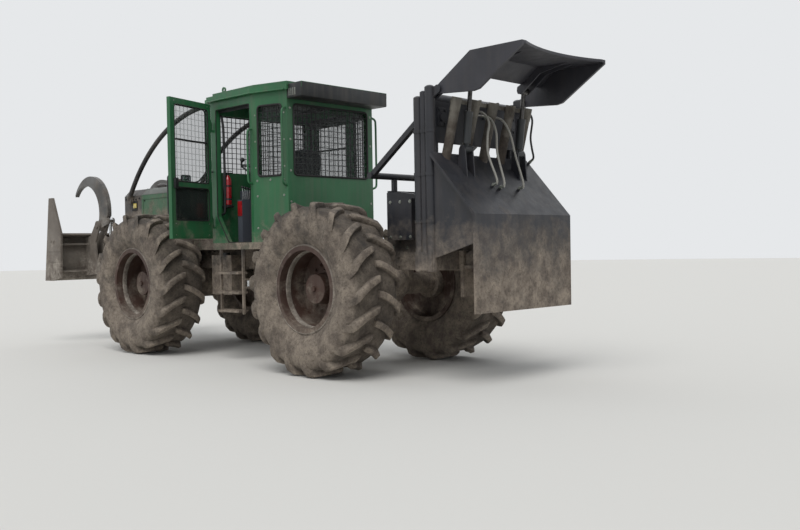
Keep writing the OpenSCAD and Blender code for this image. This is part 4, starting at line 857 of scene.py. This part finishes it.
class SKIDDER_OT_work_lamps(bpy.types.Operator):
    """Work lamps under the roof's front edge"""

    bl_idname = "skidder.work_lamps"
    bl_label = "Work lamps"
    bl_options = {"REGISTER", "UNDO"}

    def execute(self, context):
        shape, lens = bmesh.new(), bmesh.new()
        for y in (430, -430):
            box(shape, at(515, y - 75, 2988), at(605, y + 75, 3082), 0.012)
            box(shape, at(548, y - 12, 3080), at(572, y + 12, 3101), 0.002)
            box(lens, at(604, y - 62, 3000), at(609, y + 62, 3070), 0.004)
        new_piece("work_lamps", shape, "black_polypropylene", "front")
        new_piece("work_lamp_lenses", lens, "clear_polycarbonate", "front")
        return {"FINISHED"}


class SKIDDER_OT_mirrors(bpy.types.Operator):
    """Mirrors on their bent arms from the front posts"""

    bl_idname = "skidder.mirrors"
    bl_label = "Mirrors"
    bl_options = {"REGISTER", "UNDO"}

    def execute(self, context):
        arms = sides((400, 782, 2262), (440, 830, 2255), (620, 850, 2160), (760, 855, 2158), (840, 870, 2175))
        pipes("mirror_arms", arms, 0.02, "black_polypropylene", "front")
        shape, glass = bmesh.new(), bmesh.new()
        for s in (1, -1):
            box(shape, at(842, s * 800, 2110), at(886, s * 940, 2255), 0.02)
            box(glass, at(838.5, s * 812, 2122), at(843, s * 928, 2243), 0.004)
        new_piece("mirror_shells", shape, "black_polypropylene", "front")
        new_piece("mirror_glasses", glass, "silvered_glass", "front")
        return {"FINISHED"}


# Inside of the cab


def cushion(name, low, high, crown, turn=None, channels=3):
    """A sewn pad between two corners, with a crowned top and channels stitched across it."""
    low, high = Vector(low), Vector(high)
    where = Matrix.Translation((low + high) / 2) @ Matrix.Diagonal((*(high - low), 1))
    shape = bmesh.new()
    bmesh.ops.create_cube(shape, size=1)
    bmesh.ops.subdivide_edges(shape, edges=shape.edges[:], cuts=11, use_grid_fill=True)
    for v in shape.verts:
        x, y, z = v.co * 2
        full = (1 - x ** 4) * (1 - y ** 4) * (1 - z ** 4)
        v.co = Vector((x, y, z)) / 2 * (1 - 0.10 * (x * x * y * y + y * y * z * z + x * x * z * z))
        groove = 0.0
        if channels and abs(y) < 0.7:
            groove = 0.05 * math.exp(-((math.fmod(abs(x * channels) + 0.5, 1.0) - 0.5) / 0.16) ** 2)
        if z > 0.8:
            v.co.z += crown * (1 - x * x) * (1 - y * y) - groove
        v.co.x *= 1 - 0.04 * (1 - abs(z)) * full
    shape.transform(where if turn is None else turn @ where)
    piece = new_piece(name, shape, "woven_polyester", "front", 180)
    soft = piece.modifiers.new("smooth", "SUBSURF")
    soft.levels = soft.render_levels = 1


class SKIDDER_OT_seat(bpy.types.Operator):
    """Sewn seat and back on their stand"""

    bl_idname = "skidder.seat"
    bl_label = "Seat"
    bl_options = {"REGISTER", "UNDO"}

    def execute(self, context):
        cushion("seat_cushion", at(-375, -245, 1780), at(85, 245, 1896), 0.16)
        lean = Matrix.Translation(at(-380, 0, 1900)) @ Matrix.Rotation(math.radians(-10), 4, "Y")
        back_turn = lean @ Matrix.Rotation(math.radians(90), 4, "Y") @ Matrix.Scale(-1, 4, (1, 0, 0))
        cushion("seat_back", (0.005, -0.232, 0.004), (0.608, 0.232, 0.104), 0.14, back_turn, 4)
        shape = bmesh.new()
        box(shape, at(-326, -196, 1402), at(-34, 196, 1778), 0.02)
        for y in (-215, 215):
            box(shape, at(-300, y - 22, 1700), at(0, y + 22, 1778), 0.01)
        stand = new_piece("seat_stand", shape, "black_polypropylene", "front")
        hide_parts("seat")
        return {"FINISHED"}


class SKIDDER_OT_controls(bpy.types.Operator):
    """Levers with knobs on the side console, pedals under the wheel and the red switch plate"""

    bl_idname = "skidder.controls"
    bl_label = "Controls"
    bl_options = {"REGISTER", "UNDO"}

    def execute(self, context):
        levers, knobs = [], bmesh.new()
        for i, y in enumerate((450, 480, 510, 540)):
            top = at(120 + 10 * i, y, 2050 + 8 * i)
            levers.append([at(140, y, 1920), at(132, y, 1980), top])
            bmesh.ops.create_uvsphere(knobs, u_segments=16, v_segments=10, radius=0.017,
                                      matrix=Matrix.Translation(top))
        pipes("levers", levers, 0.01, "hard_chrome", "front")
        for y in (-90, 90):
            box(knobs, at(120, y - 40, 1440), at(135, y + 40, 1540), 0.006)
            box(knobs, at(130, y - 12, 1480), at(196, y + 12, 1500), 0.002)
        new_piece("knobs_and_pedals", knobs, "black_polypropylene", "front")
        shape = bmesh.new()
        box(shape, at(102, 579, 1722), at(188, 585, 1902), 0.003)
        new_piece("red_switch_plate", shape, "red_enamel", "front")
        return {"FINISHED"}


class SKIDDER_OT_linings(bpy.types.Operator):
    """Black linings of the roof, the header and the walls under the windows; their black also paints the
    shade inside the cab
    """

    bl_idname = "skidder.linings"
    bl_label = "Linings"
    bl_options = {"REGISTER", "UNDO"}

    def execute(self, context):
        shape = bmesh.new()
        box(shape, at(-820, -560, 3060), at(360, 560, 3098), 0.02)
        for y in (-380, 380):
            box(shape, at(-250, y - 60, 3030), at(50, y + 60, 3064), 0.012)
        new_piece("roof_lining", shape, "black_polypropylene", "front")

        shape = bmesh.new()
        half = 0.003
        rim = [(-846, 600), (-396, 734), (386, 734)]
        for (x0, y0), (x1, y1) in zip(rim, rim[1:]):
            run = Vector((x1 - x0, y1 - y0, 0)) / 1000
            for s in (1, -1):
                turn = Matrix.Rotation(math.atan2(s * run.y, run.x), 4, "Z")
                turn = Matrix.Translation(at(x0, s * y0, 0)) @ turn
                # painted shade: the right side's black header sheet reaches lower, where the inside of the
                # cab looks dark
                header = 2.962 if s > 0 else 2.88
                box(shape, (0, -half * s, header), (run.length, half * s, 3.06), 0.001, turn)
                if y0 < 700:
                    box(shape, (0.02, -half * s, 1.45), (run.length - 0.02, half * s, 2.12), 0.001, turn)
        box(shape, at(-848, -596, 2962), at(-842, 596, 3060), 0.001)
        box(shape, at(379, -728, 2958), at(385, 728, 3062), 0.001)
        box(shape, at(379, -728, 1404), at(385, 728, 2244), 0.001)
        box(shape, at(-848, -596, 1450), at(-842, 596, 2130), 0.001)
        new_piece("wall_lining_and_shade", shape, "black_polypropylene", "front")
        return {"FINISHED"}


class SKIDDER_OT_control_arms(bpy.types.Operator):
    """Bent control arms with a knob beside the seat, and the hood over the instruments"""

    bl_idname = "skidder.control_arms"
    bl_label = "Control arms"
    bl_options = {"REGISTER", "UNDO"}

    def execute(self, context):
        arms = [[at(-180, 215, 1760), at(-200, 560, 1900), at(-193, 600, 2125), at(-96, 600, 2225),
                 at(80, 600, 2321), at(60, 600, 2370)],
                [at(76, 600, 2325), at(-60, 600, 2308), at(-216, 600, 2275), at(-240, 600, 2080)]]
        pipes("control_arms", [eased(r, 0.04) for r in arms], 0.022, "black_polypropylene", "front",
              False)
        shape = bmesh.new()
        bmesh.ops.create_uvsphere(shape, u_segments=20, v_segments=12, radius=0.028,
                                  matrix=Matrix.Translation(at(52, 600, 2392)))
        new_piece("control_knob", shape, "black_polypropylene", "front")
        shape = bmesh.new()
        box(shape, at(262, -260, 2042), at(352, 260, 2110), 0.02)
        for y in (-150, 0, 150):
            disc(shape, at(262, y, 2078), (-1, 0, 0), 0.024, 0.006)
        new_piece("instrument_hood", shape, "black_polypropylene", "front")
        return {"FINISHED"}


class SKIDDER_OT_extinguisher(bpy.types.Operator):
    """Fire extinguisher strapped inside the front post, with its valve, bracket and hose"""

    bl_idname = "skidder.extinguisher"
    bl_label = "Fire extinguisher"
    bl_options = {"REGISTER", "UNDO"}

    def execute(self, context):
        centre = at(300, 640, 0)
        shape = bmesh.new()
        bottle = [(0.0, 1.86), (0.038, 1.86), (0.044, 1.872), (0.044, 2.15), (0.038, 2.18), (0.022, 2.205),
                  (0.016, 2.22), (0.0, 2.22)]
        lathe(shape, bottle, centre, (0, 0, 1), 40)
        new_piece("extinguisher_bottle", shape, "red_enamel", "front", 50)
        shape = bmesh.new()
        disc(shape, centre + Vector((0, 0, 2.219)), (0, 0, 1), 0.016, 0.03, 16)
        box(shape, centre + Vector((-0.010, -0.06, 2.245)), centre + Vector((0.010, 0.025, 2.256)), 0.003)
        box(shape, centre + Vector((-0.009, -0.065, 2.268)), centre + Vector((0.009, 0.02, 2.277)), 0.003)
        for z in (1.93, 2.09):
            band = [(0.0445, z - 0.01), (0.047, z - 0.01), (0.047, z + 0.01), (0.0445, z + 0.01)]
            lathe(shape, band + band[:1], centre, (0, 0, 1), 40)
        box(shape, centre + Vector((0.045, -0.03, 1.84)), centre + Vector((0.087, 0.03, 2.13)), 0.004)
        box(shape, centre + Vector((-0.05, -0.05, 1.83)), centre + Vector((0.06, 0.05, 1.856)), 0.006)
        new_piece("extinguisher_valve", shape, "black_polypropylene", "front")
        way = ((0, 0.015, 2.235), (0, 0.05, 2.24), (0, 0.062, 2.17), (0, 0.055, 1.98))
        pipes("extinguisher_hose", [[centre + Vector(p) for p in way]], 0.014, "hose_rubber", "front")
        return {"FINISHED"}


# Doors


def door_box(shape, s, along, outward, up, edge):
    """A box on a door, between two values each along it, out from it and up."""
    where = Matrix.Rotation(-DOOR_OPEN if s > 0 else 0.0, 4, "Z")
    where = Matrix.Translation(on_door(0, 0, 0, s)) @ where
    low, high = (Vector((-a, s * o, z)) / 1000 for a, o, z in zip(along[::-1], outward, up))
    box(shape, low, high, edge, where)


class SKIDDER_OT_doors(bpy.types.Operator):
    """Seals, handles, latches, bolts, folds and lower panels of the doors"""

    bl_idname = "skidder.doors"
    bl_label = "Doors"
    bl_options = {"REGISTER", "UNDO"}

    def execute(self, context):
        head = context.scene.skidder_trim.bolt
        grip = ((722, 22, 2180), (722, 55, 2165), (722, 58, 2080), (722, 58, 1830), (722, 55, 1740),
                (722, 22, 1725))
        bar = ((100, -22, 2596), (160, -50, 2590), (420, -56, 2586), (600, -50, 2590), (668, -22, 2596))
        for side, s in (("left", 1), ("right", -1)):
            door, body = "door_" + side, "door_" + side + "_body"
            out = on_door(0, 1, 0, s) - on_door(0, 0, 0, s)
            loops = [[on_door(a, o, z, s) for a, z in ((82, low), (683, low), (683, high), (82, high))]
                     for low, high in ((1667, 2048), (2112, 2993)) for o in (20, -20)]
            pipes(door + "_seals", [eased(r, 0.05, True) for r in loops], 0.014, "seal_rubber", body,
                  smooth=False, closed=True)
            rails = [[on_door(a, o, z, s) for a, o, z in way] for way in (grip, bar)]
            pipes(door + "_handles", [eased(r, 0.04) for r in rails], 0.022, "black_polypropylene", body,
                  False)
            shape = bmesh.new()
            door_box(shape, s, (662, 722), (-52, -22), (2030, 2150), 0.006)
            door_box(shape, s, (690, 730), (22, 40), (2060, 2120), 0.006)
            new_piece(door + "_latch", shape, "black_polypropylene", body)
            shape = bmesh.new()
            outer = [on_door(a, 22.6, z, s) for a in (50, 705) for z in (1500, 1630, 2440, 2800, 3030)]
            bolts(shape, outer, out, head * 0.6)
            for a in (90, 690):
                for z in (1500, 1630, 3030):
                    disc(shape, on_door(a, -22.4, z, s), -out, head * 0.8, 0.003, 16)
            new_piece(door + "_bolts", shape, "zinc_plated_steel", body)
            shape = bmesh.new()
            for z in (1470, 1640):
                for o in (22, -25):
                    door_box(shape, s, (40, 740), (o, o + 3), (z, z + 6), 0.001)
            new_piece(door + "_folds", shape, "green_enamel", body)
            shape = bmesh.new()
            door_box(shape, s, (82, 683), (5.5, 9.5), (1667, 2048), 0.001)
            new_piece(door + "_panel", shape, "matt_black_enamel", body)
        return {"FINISHED"}


# Hood and nose


class SKIDDER_OT_hood_panels(bpy.types.Operator):
    """Panel seams, latches and bolts of the hood and the nose"""

    bl_idname = "skidder.hood_panels"
    bl_label = "Hood panels"
    bl_options = {"REGISTER", "UNDO"}

    def execute(self, context):
        shape = bmesh.new()
        for s in (1, -1):
            for x0, x1 in ((520, 1720), (1760, 2540)):
                for z in (1450, 2040):
                    box(shape, at(x0, s * 499, z), at(x1, s * 506, z + 6), 0.002)
                for x in (x0, x1 - 6):
                    box(shape, at(x, s * 499, 1450), at(x + 6, s * 506, 2046), 0.002)
        for x in (460, 1735, 2578):
            box(shape, at(x, -409, 2188), at(x + 10, 409, 2196), 0.002)
        new_piece("hood_seams", shape, "weathered_green_enamel", "front")
        shape = bmesh.new()
        for s in (1, -1):
            for x in (620, 1620, 1860, 2440):
                box(shape, at(x, s * 500, 1500), at(x + 60, s * 518, 1540), 0.006)
            hood = [at(x, s * 500, z) for x in (560, 1130, 1700, 2500) for z in (1480, 2020)]
            nose = [at(x, s * 500, z) for x in (2640, 2900, 3010) for z in (1500, 1780, 2060)]
            bolts(shape, hood, (0, s, 0), 0.009)
            bolts(shape, nose, (0, s, 0), 0.011)
        new_piece("hood_latches", shape, "black_polypropylene", "front")
        return {"FINISHED"}


class SKIDDER_OT_hood_deck(bpy.types.Operator):
    """Grey deck over the hood's top and its bevels"""

    bl_idname = "skidder.hood_deck"
    bl_label = "Hood deck"
    bl_options = {"REGISTER", "UNDO"}

    def execute(self, context):
        shape = bmesh.new()
        for x0, x1 in ((466, 1733), (1747, 2576)):
            box(shape, at(x0, -408, 2189), at(x1, 408, 2194), 0.002)
            for s in (1, -1):
                tilt = Matrix.Rotation(math.radians(-45 * s), 4, "X")
                tilt = Matrix.Translation(at(0, s * 455, 2145)) @ tilt
                box(shape, (x0 / 1000, -0.064, -0.001), (x1 / 1000, 0.064, 0.004), 0.001, tilt)
        new_piece("hood_deck", shape, "dusty_grey_enamel", "front")
        return {"FINISHED"}


class SKIDDER_OT_air_intakes(bpy.types.Operator):
    """Domed cover of the pre-cleaner and a capped cone on the hood"""

    bl_idname = "skidder.air_intakes"
    bl_label = "Air intakes"
    bl_options = {"REGISTER", "UNDO"}

    def execute(self, context):
        shape = bmesh.new()
        dome = [(0.0, 2.186), (0.0605, 2.186), (0.0605, 2.2085), (0.0865, 2.2085), (0.0865, 2.234),
                (0.0765, 2.236), (0.0594, 2.250), (0.0406, 2.260), (0.0206, 2.266), (0.0, 2.268)]
        lathe(shape, dome, at(2400, 270, 0), (0, 0, 1), 48)
        cone = [(0.0, 2.188), (0.085, 2.188), (0.085, 2.2), (0.034, 2.295), (0.062, 2.297), (0.066, 2.312),
                (0.06, 2.33), (0.0, 2.336)]
        lathe(shape, cone, at(2330, 0, 0), (0, 0, 1), 40)
        new_piece("air_intakes", shape, "scratched_black_enamel", "front", 50)
        return {"FINISHED"}


class SKIDDER_OT_nose_lamps(bpy.types.Operator):
    """Lamps in the nose's sides"""

    bl_idname = "skidder.nose_lamps"
    bl_label = "Nose lamps"
    bl_options = {"REGISTER", "UNDO"}

    def execute(self, context):
        shape, lens = bmesh.new(), bmesh.new()
        for s in (1, -1):
            box(shape, at(2694, s * 500, 1890), at(2836, s * 510, 2028), 0.008)
            box(lens, at(2702, s * 508, 1926), at(2786, s * 519, 1992), 0.01)
            bolts(shape, [at(2730, s * 500, 2048), at(2800, s * 500, 2048)], (0, s, 0), 0.01)
        new_piece("nose_lamp_rings", shape, "black_polypropylene", "front")
        new_piece("nose_lamp_lenses", lens, "amber_polycarbonate", "front", 60)
        return {"FINISHED"}


class SKIDDER_OT_nose_screen(bpy.types.Operator):
    """Perforated screen behind the nose's bars"""

    bl_idname = "skidder.nose_screen"
    bl_label = "Nose screen"
    bl_options = {"REGISTER", "UNDO"}

    def execute(self, context):
        shape = bmesh.new()
        upright = Matrix.Rotation(math.radians(90), 4, "Y") @ Matrix.Diagonal((0.66, 0.86, 1, 1))
        bmesh.ops.create_grid(shape, x_segments=42, y_segments=32, size=0.5,
                              matrix=Matrix.Translation(at(3015, 0, 1740)) @ upright)
        bmesh.ops.inset_individual(shape, faces=shape.faces[:], thickness=0.003)
        holes = [f for f in shape.faces if f.calc_area() > 0.00018]
        bmesh.ops.delete(shape, geom=holes, context="FACES")
        screen = new_piece("nose_screen", shape, "blackened_wire", "front")
        wall = screen.modifiers.new("wall", "SOLIDIFY")
        wall.thickness = 0.002
        return {"FINISHED"}


# Blade and claws


class SKIDDER_OT_blade(bpy.types.Operator):
    """Bolts of the cutting edge, stiffeners and weld beads of the blade"""

    bl_idname = "skidder.blade"
    bl_label = "Blade"
    bl_options = {"REGISTER", "UNDO"}

    def execute(self, context):
        shape = bmesh.new()
        bolts(shape, [at(4042, y, 942) for y in range(-1050, 1051, 150)], Vector((1, 0, 0.55)), 0.014)
        for s in (1, -1):
            bolts(shape, [at(3790, s * 1171, 1010), at(3900, s * 1171, 1010), at(3990, s * 1171, 1480),
                          at(3900, s * 1171, 1480)], (0, s, 0), 0.013)
            for z in (1180, 1330):
                box(shape, at(3700, s * 1168, z), at(4090, s * 1176, z + 10), 0.003)
        new_piece("blade_bolts", shape, "clay_on_bare_steel", "blade_body")
        beads = [[at(3785 + 9 * (i % 2), s * (1135 - 20 * i), z) for i in range(56)]
                 for s in (1, -1) for z in (1035, 1053, 1425, 1443)]
        pipes("blade_welds", beads, 0.009, "clay_on_bare_steel", "blade_body", False)
        return {"FINISHED"}


class SKIDDER_OT_claw_caps(bpy.types.Operator):
    """Caps on the pins of the claws and their cylinders"""

    bl_idname = "skidder.claw_caps"
    bl_label = "Claw pin caps"
    bl_options = {"REGISTER", "UNDO"}

    def execute(self, context):
        shape = bmesh.new()
        for s in (1, -1):
            for e in (1, -1):
                disc(shape, at(3560, s * 600 + e * 75, 1700), (0, s * e, 0), 0.042, 0.012, 24)
                disc(shape, at(3330, s * 600 + e * 75, 1060), (0, s * e, 0), 0.032, 0.012, 24)
        new_piece("claw_pin_caps", shape, "abraded_steel", "blade_body")
        return {"FINISHED"}


# Tower and winch

POST_Y = 690
SHEAVE_Y = 540


class SKIDDER_OT_posts(bpy.types.Operator):
    """Clamps, rounded caps and slim pipes of the tower's posts"""

    bl_idname = "skidder.posts"
    bl_label = "Tower posts"
    bl_options = {"REGISTER", "UNDO"}

    def execute(self, context):
        shape = bmesh.new()
        for s in (1, -1):
            for z in (1.56, 2.01, 2.42):
                for x, r in ((-3080, 0.0505), (-3001, 0.038), (-2927, 0.0455)):
                    band = [(r, z - 0.016), (r + 0.005, z - 0.016), (r + 0.005, z + 0.016), (r, z + 0.016)]
                    lathe(shape, band + band[:1], at(x, s * POST_Y, 0), (0, 0, 1), 32)
            for x, r, z in ((-3080, 0.05, 2.83), (-3001, 0.0375, 2.79), (-2927, 0.045, 2.745)):
                cap = [(0.0, z + r * 0.42), (r * 0.45, z + r * 0.36), (r * 0.8, z + r * 0.2), (r, z - 0.002),
                       (0.0, z - 0.002)]
                lathe(shape, cap, at(x, s * POST_Y, 0), (0, 0, 1), 32)
        new_piece("post_clamps", shape, "black_enamel", "rear", 40)
        shape = bmesh.new()
        for s in (1, -1):
            box(shape, at(-3102, s * SHEAVE_Y - 62, 2470), at(-3089, s * SHEAVE_Y + 62, 2650), 0.004)
            studs = [at(-3102, s * SHEAVE_Y + y, z) for y in (-42, 42) for z in (2495, 2625)]
            bolts(shape, studs, (-1, 0, 0), 0.011)
            disc(shape, at(-3102, s * SHEAVE_Y, 2560), (-1, 0, 0), 0.045, 0.02, 32)
        new_piece("sheave_plates", shape, "black_enamel", "rear")
        slim = [[at(x, s * y, z) for z in (1300, 1700, 2200, top)]
                for x, y, top in ((-2990, 655, 2600), (-2950, 648, 2560)) for s in (1, -1)]
        pipes("post_pipes", slim, 0.018, "black_enamel", "rear", False)
        return {"FINISHED"}


class SKIDDER_OT_drum_rope(bpy.types.Operator):
    """Wire rope wound in three layers on each half of the drum"""

    bl_idname = "skidder.drum_rope"
    bl_label = "Drum rope"
    bl_options = {"REGISTER", "UNDO"}

    def execute(self, context):
        centre = middle("winch_drum")
        shape = bmesh.new()
        turns, chords, wire = 13, 20, 0.0077
        for low, high in ((-0.226, -0.016), (0.016, 0.226)):
            for layer in range(3):
                start, end = (low, high) if layer % 2 == 0 else (high, low)
                mouth = place(centre + Vector((0, start, 0.118 + 0.0135 * layer)), (1, 0, 0))
                ring = bmesh.ops.create_circle(shape, segments=6, radius=wire, matrix=mouth)["verts"]
                edges = list({e for v in ring for e in v.link_edges})
                bmesh.ops.spin(shape, geom=ring + edges, cent=centre, axis=(0, 1, 0),
                               dvec=(0, (end - start) / (turns * chords), 0),
                               angle=2 * math.pi * turns, steps=turns * chords)
        new_piece("drum_rope", shape, "drawn_steel_wire", "winch", 180)
        return {"FINISHED"}


class SKIDDER_OT_winch_bolts(bpy.types.Operator):
    """Bolts of the winch's gear case and feet"""

    bl_idname = "skidder.winch_bolts"
    bl_label = "Winch bolts"
    bl_options = {"REGISTER", "UNDO"}

    def execute(self, context):
        shape = bmesh.new()
        for x in (-2540, -2400, -2260):
            bolts(shape, [at(x, 420, 1420), at(x, 420, 1780)], (0, 1, 0), 0.012)
        for x in (-2780, -2600, -2400, -2200):
            for s in (1, -1):
                bolts(shape, [at(x, s * 325, 1310)], (0, s, 0), 0.013)
        new_piece("winch_bolts", shape, "zinc_plated_steel", "rear")
        return {"FINISHED"}


# Frames


class SKIDDER_OT_frame_bolts(bpy.types.Operator):
    """Bolts along the rails of the two frames"""

    bl_idname = "skidder.frame_bolts"
    bl_label = "Frame bolts"
    bl_options = {"REGISTER", "UNDO"}

    def execute(self, context):
        for body, upper, spots in (("rear", 1220, (-2800, -2300, -1500, -1000)),
                                   ("front", 1270, (900, 1400, 1900, 2400))):
            shape = bmesh.new()
            for s in (1, -1):
                for x in spots:
                    bolts(shape, [at(x, s * 340, 1130), at(x, s * 340, upper)], (0, s, 0), 0.014)
            new_piece(body + "_frame_bolts", shape, "clay_on_black_enamel", body)
        return {"FINISHED"}


class SKIDDER_OT_ladders(bpy.types.Operator):
    """Teeth on the ladders' treads, and the tanks' caps"""

    bl_idname = "skidder.ladders"
    bl_label = "Ladder treads"
    bl_options = {"REGISTER", "UNDO"}

    def execute(self, context):
        shape = bmesh.new()
        for s in (1, -1):
            for z in (605, 825, 1055):
                for i in range(9):
                    x = -150 + i * 46
                    box(shape, at(x, s * 735, z), at(x + 12, s * 838, z + 8), 0.002)
        new_piece("ladder_teeth", shape, "clay_on_black_enamel", "front")
        shape = bmesh.new()
        for s in (1, -1):
            disc(shape, at(640, s * 450, 1250), (0, 0, 1), 0.05, 0.03, 24, 0.047)
        new_piece("tank_caps", shape, "black_polypropylene", "front")
        return {"FINISHED"}


STEPS = [
    SKIDDER_OT_stage, SKIDDER_OT_finishes, SKIDDER_OT_hoses, SKIDDER_OT_tyres, SKIDDER_OT_wheels,
    SKIDDER_OT_window_seals, SKIDDER_OT_handles, SKIDDER_OT_cab_bolts, SKIDDER_OT_air_box,
    SKIDDER_OT_work_lamps, SKIDDER_OT_mirrors, SKIDDER_OT_seat, SKIDDER_OT_controls, SKIDDER_OT_linings,
    SKIDDER_OT_control_arms, SKIDDER_OT_extinguisher, SKIDDER_OT_doors, SKIDDER_OT_hood_panels,
    SKIDDER_OT_hood_deck, SKIDDER_OT_air_intakes, SKIDDER_OT_nose_lamps, SKIDDER_OT_nose_screen,
    SKIDDER_OT_blade, SKIDDER_OT_claw_caps, SKIDDER_OT_posts, SKIDDER_OT_drum_rope,
    SKIDDER_OT_winch_bolts, SKIDDER_OT_frame_bolts, SKIDDER_OT_ladders,
]


class SKIDDER_PT_panel(bpy.types.Panel):
    """Lists the steps of the machine's finish"""

    bl_idname = "SKIDDER_PT_panel"
    bl_label = "Skidder"
    bl_space_type = "VIEW_3D"
    bl_region_type = "UI"
    bl_category = "Skidder"

    def draw(self, context):
        for step in STEPS:
            self.layout.operator(step.bl_idname)


def register():
    for kind in [*GROUPS.values(), *STEPS, SKIDDER_PT_panel]:
        bpy.utils.register_class(kind)
    for name, group in GROUPS.items():
        setattr(bpy.types.Scene, name, bpy.props.PointerProperty(type=group))


def unregister():
    for name in GROUPS:
        delattr(bpy.types.Scene, name)
    for kind in [SKIDDER_PT_panel, *reversed(STEPS), *GROUPS.values()]:
        bpy.utils.unregister_class(kind)


def main():
    register()
    for step in STEPS:
        getattr(bpy.ops.skidder, step.bl_idname.split(".")[1])()


if __name__ == "__main__":
    main()
